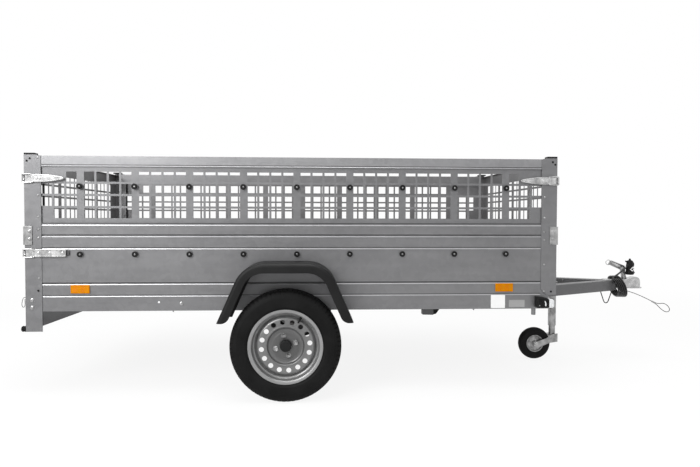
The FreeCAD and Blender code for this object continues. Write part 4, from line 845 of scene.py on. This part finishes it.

# folded edges of the side sheets: a lip that faces up, painted lighter as a highlight, and a darker
# strip painted as the shade in the gap above it
folds = {
    "start": -1.667, "end": 0.867, "lipEdge": 0.0008, "out": {"lips": 0.0015, "gaps": 0.0003},
    "lips": (
        (1.1506, 1.1542), (0.853, 0.8588), (0.7962, 0.8002), (0.734, 0.7398), (0.5548, 0.5602),
        (0.4948, 0.4996)),
    "gaps": ((1.1558, 1.158), (0.8628, 0.8672), (0.7418, 0.7456), (0.5634, 0.5674), (0.5026, 0.5052))}
for kind, finish in (("lips", "fold_light"), ("gaps", "shaded_steel")):
    strips = []
    inner, outer = standing("wall", folds["out"][kind])
    for bottom, top in folds[kind]:
        edge = bottom + folds["lipEdge"] if kind == "lips" else top
        strips.append(
            plate(
                "sheet" + kind.title(), [(inner, bottom), (outer, bottom), (outer, edge), (inner, top)],
                folds["start"], folds["end"], axis="X"))
    paired(joined(*strips), finish)
# the top rails' cover, in a lighter copy of the sheet finish as a painted highlight
topRail = slab("topRails", folds["start"], folds["end"], 1.159, 1.2, *standing("wall", 0.0008))
paired(soften(topRail, 0.0003), "rail_light")
# dark strips beside the rear posts, painted as the shade between post and gate
shadeStrips = slab("postSeals", -1.668, -1.6595, 0.874, 1.14, -0.636, -0.626)
paired(soften(shadeStrips, 0.001), "black_rubber")

# the rail's second length, lapped over the first with a clipped corner
lap = {"start": -1.055, "end": 0.9, "low": 0.4236, "high": 0.4938, "clip": 0.019, "sheet": 0.0015}
railLap = plate(
    "railLap",
    [
        (lap["start"], lap["low"]), (lap["end"], lap["low"]), (lap["end"], lap["high"]),
        (lap["start"] + lap["clip"], lap["high"]), (lap["start"], lap["high"] - lap["clip"])],
    *standing("wall", lap["sheet"]))
paired(soften(railLap, 0.0004), "galvanised_steel")
nubs = lathe(
    "railNubs", [(0, 0), (5.5, 0), (5.5, -3.5), (3.5, -4.5), (3.5, -9), (0, -9.5)], (0, 0, 0), 16,
    axis="Z")
nubs = spread(nubs, [(x, -0.628, 0.4235) for x in (-1.594, -1.028, -0.56, 0.52)])
paired(nubs, "zinc_fittings")

# brackets of the drawbar under the rails, darker as painted shade, and their webs nearly black as
# painted shade
bracket = plate(
    "armBrackets", [(0.249, 0.4236), (0.249, 0.394), (0.306, 0.3925), (0.306, 0.4236)], -0.6, -0.6405)
paired(soften(bracket, 0.0015), "shaded_steel")
webs = plate(
    "bracketWebs",
    [(0.3062, 0.4236), (0.3062, 0.3925), (0.314, 0.3895), (0.327, 0.3925), (0.35, 0.4236)], -0.606,
    -0.603)
paired(soften(webs, 0.0006), "dark_hole", slot="galvanised_steel")

# blank stickers on the front of the rail
stickers = {
    "white_plate": (0.6057, 0.6803, 0.4274, 0.4957), "silver_label": (0.701, 0.7841, 0.432, 0.4691)}
for finish, edges in stickers.items():
    sticker = slab("sticker" + finish.split("_")[0].title(), *edges, *standing("rail", 0.0004))
    edit(sticker, "EDGE")
    pick("EDGE", lambda place, run: abs(run.y) > 0.0003)
    bpy.ops.mesh.bevel(offset=0.002, segments=4)
    leave()
    finished(sticker, finish)

# amber reflectors: a rimmed moulding with two sunk prism fields
reflector = {
    "places": (-1.4825, 0.6745), "level": 0.535, "half": (0.0465, 0.0215), "depth": 0.007,
    "fields": ((-0.034, -0.014), (0.004, 0.023)), "fieldHalf": 0.0165}
blocks, fields = [], []
wide, tall = reflector["half"]
level, fieldTall = reflector["level"], reflector["fieldHalf"]
back, front = standing("wall", reflector["depth"], 0)
for x in reflector["places"]:
    block = slab("sideReflectors", x - wide, x + wide, level - tall, level + tall, back, front)
    blocks.append(sunk(soften(block, 0.0022, 3), 0.0016, 0.0003, -0.001))
    for left, right in reflector["fields"]:
        field = slab(
            "reflectorFields", x + left, x + right, level - fieldTall, level + fieldTall, front + 0.002,
            front + 0.0002)
        fields.append(soften(field, 0.0005))
paired(joined(*blocks), "amber_lens", ("side_reflectors",))
paired(joined(*fields), "amber_field")

# front marker lamps: black housings with a white lens at the corner, and the stub under the rail
marker = {"left": 0.8365, "middle": 0.8995, "low": 0.433, "high": 0.491, "out": 0.69}
housing = plate(
    "markerLamps",
    [
        (marker["left"], marker["low"]), (marker["middle"], marker["low"]), (marker["middle"], 0.4745),
        (0.89, 0.483), (0.86, marker["high"] - 0.003), (marker["left"], marker["high"])],
    *standing("wall", marker["out"] - face["wall"]))
housing = sunk(soften(housing, 0.0035, 3, 20), 0.005, 0.001, -0.0045)
bend = ((0.845, 0.47), (0.856, 0.4715), (0.864, 0.464), (0.8655, 0.45), (0.865, 0.44))
housing = joined(housing, wireOf("lampRib", [(x, -0.6875, z) for x, z in bend], 0.0022))
housing.name = "markerLamps"
paired(housing, "black_plastic", ("marker_lamps",), 35)
window = plate(
    "lampWindows",
    [(0.8775, 0.442), (0.885, 0.441), (0.884, 0.456), (0.88, 0.467), (0.8745, 0.469), (0.8775, 0.456)],
    -0.684, -0.6885)
paired(soften(window, 0.0012, 3), "white_lens")
cover = plate(
    "markerLenses",
    [
        (marker["middle"] - 0.001, 0.4335), (0.9215, 0.4335), (0.9252, 0.44), (0.925, 0.47),
        (0.919, 0.476), (marker["middle"] - 0.001, 0.4785)],
    -face["post"], -marker["out"] + 0.0006)
paired(soften(cover, 0.0045, 4, 20), "white_lens", ("marker_lenses",), 40)
lug(
    "lampScrew", boltHead[:1] + [(4.2, 0), (4, 1.5), (2.2, 2.4), (0, 2.4)], "zinc_fittings",
    [(0.848, "lamp", 0.444)], 16)
stub = lathe(
    "railStub", [(8.5, 0), (11, 0), (11, -42), (10, -43), (8.5, -42)], (0.8365, -0.6335, 0.4325), 28,
    True, axis="Z")
paired(stub, "galvanised_steel", smooth=40)

# toggle latches: base plate, pin, bent bail and sunk lever, pointed above and square below
latch = {
    "edge": -1.7505, "upper": 1.0885, "lower": 0.7165, "out": 0.66, "bailHalf": 0.0225, "wire": 0.0033,
    "rear": 0.004, "pinAt": 0.042,
    "pointed": [
        (0.044, 0.015), (0.056, 0.0192), (0.085, 0.0194), (0.115, 0.0178), (0.145, 0.0142),
        (0.17, 0.0104), (0.188, 0.0068), (0.196, 0.0036)],
    "square": [(0.044, 0.015), (0.056, 0.0188), (0.2, 0.018), (0.204, 0.015)]}


def mirroredLine(upper, out, level, half):
    points = [(x, out + inward, half * share) for x, inward, share in upper]
    return [(x, y, level + z) for x, y, z in points] + [
        (x, y, level - z) for x, y, z in reversed(points)]


def toggle(name, level, outline, screws):
    u = latch["edge"]
    top = [(u + along, level + half) for along, half in outline]
    lever = plate(
        name, top + [(x, 2 * level - z) for x, z in reversed(top)], -latch["out"] + 0.0068,
        -latch["out"] + 0.0002)
    lever = sunk(soften(lever, 0.0012, 2), 0.0034, 0.0012, -0.003)
    base = slab(
        "latchBase", u + 0.006, u + 0.082, level - 0.0165, level + 0.0165, *standing("post", 0.003))
    pin = lathe(
        "latchPin", [(0, -21.5), (4.2, -21.5), (4.6, -20.5), (4.6, 20.5), (4.2, 21.5), (0, 21.5)],
        (u + latch["pinAt"], -latch["out"] + 0.0052, level), 20, axis="Z")
    half, out = latch["bailHalf"] - latch["wire"] / 2, -latch["out"] + latch["wire"]
    left, right = u - latch["rear"] + 0.001, u + latch["pinAt"] + 0.006
    # the upper half of each bent wire, then the same below the middle
    upper = (
        (right, 0.002, 0.86), (right - 0.012, 0, 1), (left + 0.012, 0, 1), (left, 0, 1), (left, 0, 0.5))
    bail = wireOf("latchBail", mirroredLine(upper, out, level, half), latch["wire"], 5)
    upper = ((left, 0, 0.7), (left, 0.012, 0.7), (left, 0.017, 0.3))
    catch = wireOf("latchCatch", mirroredLine(upper, out, level, half), latch["wire"], 4)
    boss = lathe("latchBoss", [(0, 0), (6.6, 0), (6.4, -2.2), (4.4, -3), (0, -3.2)], (0, 0, 0), 20)
    boss = spread(boss, [(u + along, -latch["out"] + 0.0032, level) for along in screws])
    return joined(lever, base, soften(pin, 0.0004), bail, catch, boss)


upperLatch = toggle("latchUpper", latch["upper"], latch["pointed"], (0.064, 0.08))
lowerLatch = toggle("latchLower", latch["lower"], latch["square"], (0.07, 0.125, 0.188))
latches = joined(upperLatch, lowerLatch, mirrored(upperLatch, "latchFront", (1, 0, 0), -0.8))
latches.name = "latches"
paired(latches, "bright_zinc", ("latches",), 34)
# the latches' stops, in the shaded steel finish as painted shade
stops = plate(
    "latchStops", [(-1.5465, 0.703), (-1.532, 0.7045), (-1.532, 0.7275), (-1.5465, 0.73)],
    *standing("wall", 0.0075))
paired(soften(stops, 0.002), "shaded_steel", slot="zinc_fittings")

# ring pin of the tailgate hinge at the rear post
ringPin = wireOf(
    "ringPin",
    [
        (-1.7525, -0.642, 0.493), (-1.759, -0.644, 0.496), (-1.766, -0.644, 0.484),
        (-1.77, -0.644, 0.466), (-1.77, -0.644, 0.452), (-1.764, -0.644, 0.444),
        (-1.756, -0.644, 0.447), (-1.7545, -0.643, 0.462), (-1.756, -0.642, 0.486)],
    0.0013)
paired(ringPin, "wire_rope")
print("side fittings ready")


# jockey wheel: a solid tyre with a parting groove, a stepped rim, and the fork with its nut
low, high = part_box("jockey_tyre")
jockeyHub = (low + high) / 2
tread = [
    (54.5, 20.5), (56, 22.2), (64, 23.2), (66, 22.8), (68, 23.4), (80, 24.6), (87, 23.6), (93, 20.4),
    (97.2, 15), (99, 9.8), (98.4, 8.4), (99.6, 7), (99.9, 3)]
jockeyTyre = lathe("jockeyTyreBody", bothFaces(tread), jockeyHub, 72, True)
finished(jockeyTyre, "black_rubber", ("jockey_tyre",), 50, "jockey_wheel")
disc = [
    (10.2, 23), (15, 23), (16.5, 22.2), (17.2, 15), (19, 12.5), (30, 11.2), (40, 12), (44, 13.6),
    (46.2, 18), (48, 20.6), (53, 21.4), (54, 20.6)]
jockeyRim = lathe("jockeyRimDisc", bothFaces(disc), jockeyHub, 64, True)
finished(jockeyRim, "jockey_rim_metal", ("jockey_rim",), 34, "jockey_wheel")
fork = soften(fromNode("jockey_fork", "jockeyForkBody"), 0.0016, 3, 25)
finished(fork, "zinc_fittings", ("jockey_fork",), 35, "jockey_fork")
nut = start(
    "cylinder", "forkNut", vertices=6, radius=0.0105, depth=0.0075,
    location=(jockeyHub.x, -0.0382, jockeyHub.z), rotation=(math.pi / 2, 0, 0.2))
sunk(nut, 0.0032, 0.0006, 0.0022, facing=0.9)  # raised, for the end of the axle
washer = lathe(
    "forkWasher", [(0, -34.6), (14, -34.6), (14, -35.8), (13.2, -36.4), (0, -36.4)],
    (jockeyHub.x, 0, jockeyHub.z), 28)
paired(joined(soften(nut, 0.0007), washer), "bright_zinc", (), 34, "jockey_fork")

# coupling: pressed head, channel lever with its ring, rib and spring, bolts, the plate on the drawbar
# and the wire hoop
head = soften(fromNode("coupling_head", "couplingHeadShell"), 0.0026, 4, 22)
finished(head, "bright_zinc", ("coupling_head",), 42)
lever = {
    "outline": [
        (1.6875, 0.5), (1.6749, 0.5444), (1.6707, 0.592), (1.5855, 0.626), (1.5715, 0.6008),
        (1.6497, 0.5654), (1.6559, 0.5444), (1.6595, 0.5)],
    "half": 0.013, "ring": (1.5675, 0.6134), "ringRadius": 0.0158}
handle = plate("couplingLever", lever["outline"], -lever["half"], lever["half"])
handle = sunk(soften(handle, 0.0022, 3), 0.0036, 0.0008, -0.004, 0)
ringX, ringZ = lever["ring"]
ringTurns = [math.radians(angle) for angle in range(0, 360, 30)]
ringPoints = [
    (ringX + lever["ringRadius"] * math.cos(angle), 0, ringZ + lever["ringRadius"] * math.sin(angle))
    for angle in ringTurns]
handle = joined(handle, wireOf("leverRing", ringPoints, 0.002, 4, True))
handle.name = "couplingLever"
finished(handle, "zinc_fittings", ("coupling_handle",), 34)
rib = plate(
    "leverRib", [(1.653, 0.57), (1.666, 0.578), (1.664, 0.585), (1.588, 0.616), (1.584, 0.6085)],
    -0.0114, -0.0092)
paired(soften(rib, 0.001, 2), "bright_zinc")
coil = {"middle": (1.664, -0.016, 0.533), "radius": 0.0062, "points": 14, "turn": 0.9, "wire": 0.0012}
x, y, z = coil["middle"]
coilPoints = []
for step in range(coil["points"]):
    across, up = (coil["radius"] * turned(step * coil["turn"]) for turned in (math.cos, math.sin))
    coilPoints.append((x + across, y - 0.0005 * step, z + up + 0.0004 * step))
spring = wireOf("leverSpring", coilPoints, coil["wire"], 3)
finished(spring, "zinc_fittings")
for name, x, side in (
    ("hexRear", 1.6003, -1), ("hexFront", 1.6242, -1), ("hexRearLeft", 1.6003, 1),
    ("hexFrontLeft", 1.6242, 1)):
    bolt = start(
        "cylinder", name, vertices=6, radius=0.0088, depth=0.006, location=(x, side * 0.0405, 0.486),
        rotation=(math.pi / 2, 0, 0.3))
    sunk(bolt, 0.0022, 0.0006, -0.001, side, 0.9)
    finished(soften(bolt, 0.0007), "bright_zinc")
noseStrap = plate(
    "noseStrap",
    [(1.535, 0.501), (1.613, 0.501), (1.618, 0.504), (1.618, 0.5075), (1.548, 0.5075), (1.535, 0.5035)],
    -0.034, 0.034)
finished(soften(noseStrap, 0.001), "bright_zinc")
bend = (
    (1.514, 0.4345), (1.519, 0.418), (1.529, 0.39), (1.539, 0.36), (1.552, 0.3525), (1.565, 0.36),
    (1.575, 0.39), (1.585, 0.418), (1.59, 0.4345))
hoop = wireOf("wireHoopRod", [(x, -0.008, z) for x, z in bend], 0.003)
finished(hoop, "wire_rope", ("wire_hoop",), 40)

# the plug: a ribbed body with a hinged lid, its cable gland and a blank label
plug = {
    "x": 1.6935, "y": -0.029, "low": 0.5372, "collar": 0.0205, "grip": 0.0245, "ribTurn": 9,
    "body": [
        (0, 0), (20.5, 0), (22.5, 1.5), (23, 6), (25.2, 7.5), (25.8, 11), (25.8, 16.5), (25, 19),
        (22.8, 20.5), (22.2, 30), (21.4, 44), (22.2, 46), (22.5, 56), (21.6, 64), (19.6, 72), (19, 82),
        (17.2, 88), (12, 90.5), (10, 91), (7, 92.5), (6, 99), (4.6, 102), (0, 102.8)]}


def onRibs(place, normal):
    # every other strip of the grip, which starts above the collar
    height = place.z - plug["low"] - plug["collar"]
    strip = round(math.degrees(math.atan2(place.y - plug["y"], place.x - plug["x"])) / plug["ribTurn"])
    return 0.002 < height < plug["grip"] and abs(normal.z) < 0.3 and strip % 2 == 0


shell = lathe("plugShell", plug["body"], (plug["x"], plug["y"], plug["low"]), 40, axis="Z")
edit(shell)
pick("FACE", onRibs)
bpy.ops.mesh.inset(thickness=0.0004)
bpy.ops.mesh.extrude_region_shrink_fatten(TRANSFORM_OT_shrink_fatten={"value": 0.0012})
leave()
lid = plate(
    "plugLid",
    [
        (-0.0265, 0.0), (-0.022, -0.007), (0.02, -0.007), (0.027, 0.002), (0.029, 0.01), (0.025, 0.013),
        (0.023, 0.006), (-0.02, 0.005)],
    -0.01, 0.01)
fin = plate("plugFin", [(0.018, 0.048), (0.0262, 0.054), (0.0268, 0.07), (0.018, 0.086)], -0.006, 0.006)
ear = plate(
    "plugEar", [(-0.019, 0.076), (-0.0275, 0.082), (-0.0285, 0.0895), (-0.019, 0.088)], -0.007, 0.007)
for piece, rise, width in ((lid, 0.0075, 0.0016), (fin, 0, 0.0016), (ear, 0, 0.0014)):
    piece.data.transform(Matrix.Translation((plug["x"], plug["y"], plug["low"] + rise)))
    soften(piece, width, 2)
gland = lathe(
    "plugGland",
    [
        (0, 0), (8, 0), (8.4, 2), (8.4, 16), (9.6, 17.5), (9.6, 21.5), (11, 23), (11.2, 33), (9.8, 36),
        (0, 36.2)],
    (0, 0, 0), 28, axis="Z")
glandAt, glandTo = Vector((1.666, -0.044, 0.588)), Vector((1.69, -0.036, 0.608))
gland.data.transform(pointed(glandAt, glandTo))
plugBody = joined(shell, lid, fin, ear, gland)
plugBody.name = "plugBody"
finished(plugBody, "black_plastic", ("cable_plug",), 38)
tagPlace = (
    Matrix.Translation((plug["x"] + 0.004, plug["y"] - 0.0255, plug["low"] + 0.037))
    @ Matrix.Rotation(math.radians(-48), 4, "Y"))
plugTag = slab("plugTag", -0.0125, 0.0125, -0.0095, 0.0095, 0.0, 0.001)
plugTag.data.transform(tagPlace)
finished(soften(plugTag, 0.0002, 1), "white_plate")
plugTagField = slab("plugTagField", -0.006, 0.006, -0.0048, 0.0048, -0.0003, 0.0006)
plugTagField.data.transform(tagPlace)
finished(plugTagField, "black_plastic")

# rear end: lamp clusters in three colours, ribbed buffers
rear = {
    "face": -1.7425, "out": 0.028, "lampIn": 0.325, "lampOut": 0.555, "low": 0.3335, "high": 0.4115,
    "rim": 0.005, "seam": 0.0006, "base": 0.016,
    "fields": (("amber_lens", 0.0, 0.3), ("red_lens", 0.3, 0.78), ("white_lens", 0.78, 1.0))}
rim, seam = rear["rim"], rear["seam"]
base = slab(
    "lampBases", -rear["lampOut"], -rear["lampIn"], rear["low"], rear["high"], rear["face"],
    rear["face"] - rear["base"], axis="X")
paired(soften(base, 0.003, 3), "black_plastic", ("rear_lamps",), 35)
wide = rear["lampOut"] - rear["lampIn"] - 2 * rim
for finish, begin, end in rear["fields"]:
    left, right = (rim - rear["lampOut"] + wide * share for share in (begin, end))
    field = slab(
        "lamp" + finish.split("_")[0].title(), left + seam, right - seam, rear["low"] + rim,
        rear["high"] - rim, rear["face"] - 0.015, rear["face"] - rear["out"], axis="X")
    paired(soften(field, 0.004, 3), finish, smooth=35)
bufferPart = lathe(
    "rearBufferRubber",
    [
        (0, 0), (14.9, 0), (14.9, -5), (12.5, -7.5), (12.5, -10.5), (14.9, -13), (14.9, -19),
        (12.8, -21.5), (12.8, -24), (14.7, -26.5), (14.3, -31), (12, -34), (8, -35), (6, -33.5),
        (0, -33)],
    (rear["face"], -0.63, 0.334), 36, axis="X")
paired(bufferPart, "black_rubber", ("rear_buffers",), 40)
screw = lathe(
    "plateScrews", [(0, 0), (5.5, 0), (5.2, -1.2), (3.5, -2), (0, -2.2)],
    (rear["face"] - 0.002, -0.235, 0.3725), 20, axis="X")
paired(screw, "zinc_fittings")
print("coupling, jockey wheel and rear end ready")


# cords: the supply cable, wound round the nose, and the safety wire
cable = {
    "diameter": 0.011, "length": 2.15,
    "feed": [
        (1.4979, 0.091, 0.459), (1.53, 0.075, 0.459), (1.5665, 0.08, 0.453), (1.5985, 0.0795, 0.447),
        (1.622, 0.077, 0.443), (1.64, 0.0715, 0.437)],
    "coilRadius": 0.0655, "coilHeight": 0.46, "coilFront": 1.6545, "coilRear": 1.5975, "lean": 0.325,
    "fromTurn": -48, "toTurn": -240 - 360 * 4, "stepAngle": 27, "wobble": 0.0009,
    "tail": [
        (1.6075, -0.033, 0.5345), (1.628, -0.038, 0.553), (1.648, -0.043, 0.5725),
        (1.6675, -0.0437, 0.5892)]}
route = list(cable["feed"])
steps = round((cable["fromTurn"] - cable["toTurn"]) / cable["stepAngle"])
for step in range(steps + 1):
    share = step / steps
    angle = math.radians(cable["fromTurn"] + (cable["toTurn"] - cable["fromTurn"]) * share)
    reach = cable["coilRadius"] + cable["wobble"] * math.sin(step * 0.9)
    rise = reach * math.sin(angle)
    middle = cable["coilFront"] + (cable["coilRear"] - cable["coilFront"]) * share
    route.append((middle - cable["lean"] * rise, reach * math.cos(angle), cable["coilHeight"] + rise))
route += cable["tail"]
supplyCable = bentLine("supplyCable", route, cable["diameter"] / 2, 5, 8)
supplyCable.data.materials.append(finishes["cable_jacket"])
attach(supplyCable, "chassis")
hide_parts("supply_cable_feed", "cable_coil", "supply_cable_tail")

safety = {
    "diameter": 0.004, "length": 0.47,
    "stem": [
        (1.642, -0.031, 0.444), (1.6545, -0.031, 0.444), (1.6775, -0.038, 0.433),
        (1.7025, -0.0435, 0.425), (1.732, -0.046, 0.4145), (1.765, -0.046, 0.4005),
        (1.801, -0.046, 0.384), (1.832, -0.046, 0.368)],
    "side": -0.046,
    "loop": [
        (1.8506, 0.3609), (1.8664, 0.354), (1.8845, 0.3535), (1.9045, 0.356), (1.9215, 0.35),
        (1.9365, 0.339), (1.9475, 0.325), (1.9495, 0.31), (1.9395, 0.3), (1.9235, 0.3), (1.9055, 0.309),
        (1.8865, 0.324), (1.8617, 0.3497), (1.8484, 0.3566)]}
safetyRoute = safety["stem"] + [(x, safety["side"], z) for x, z in safety["loop"]]
safetyWire = bentLine("safetyWire", safetyRoute, safety["diameter"] / 2, 5, 8)
safetyWire.data.materials.append(finishes["wire_rope"])
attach(safetyWire, "chassis")
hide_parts("safety_wire", "safety_wire_loop")
print("cords laid")
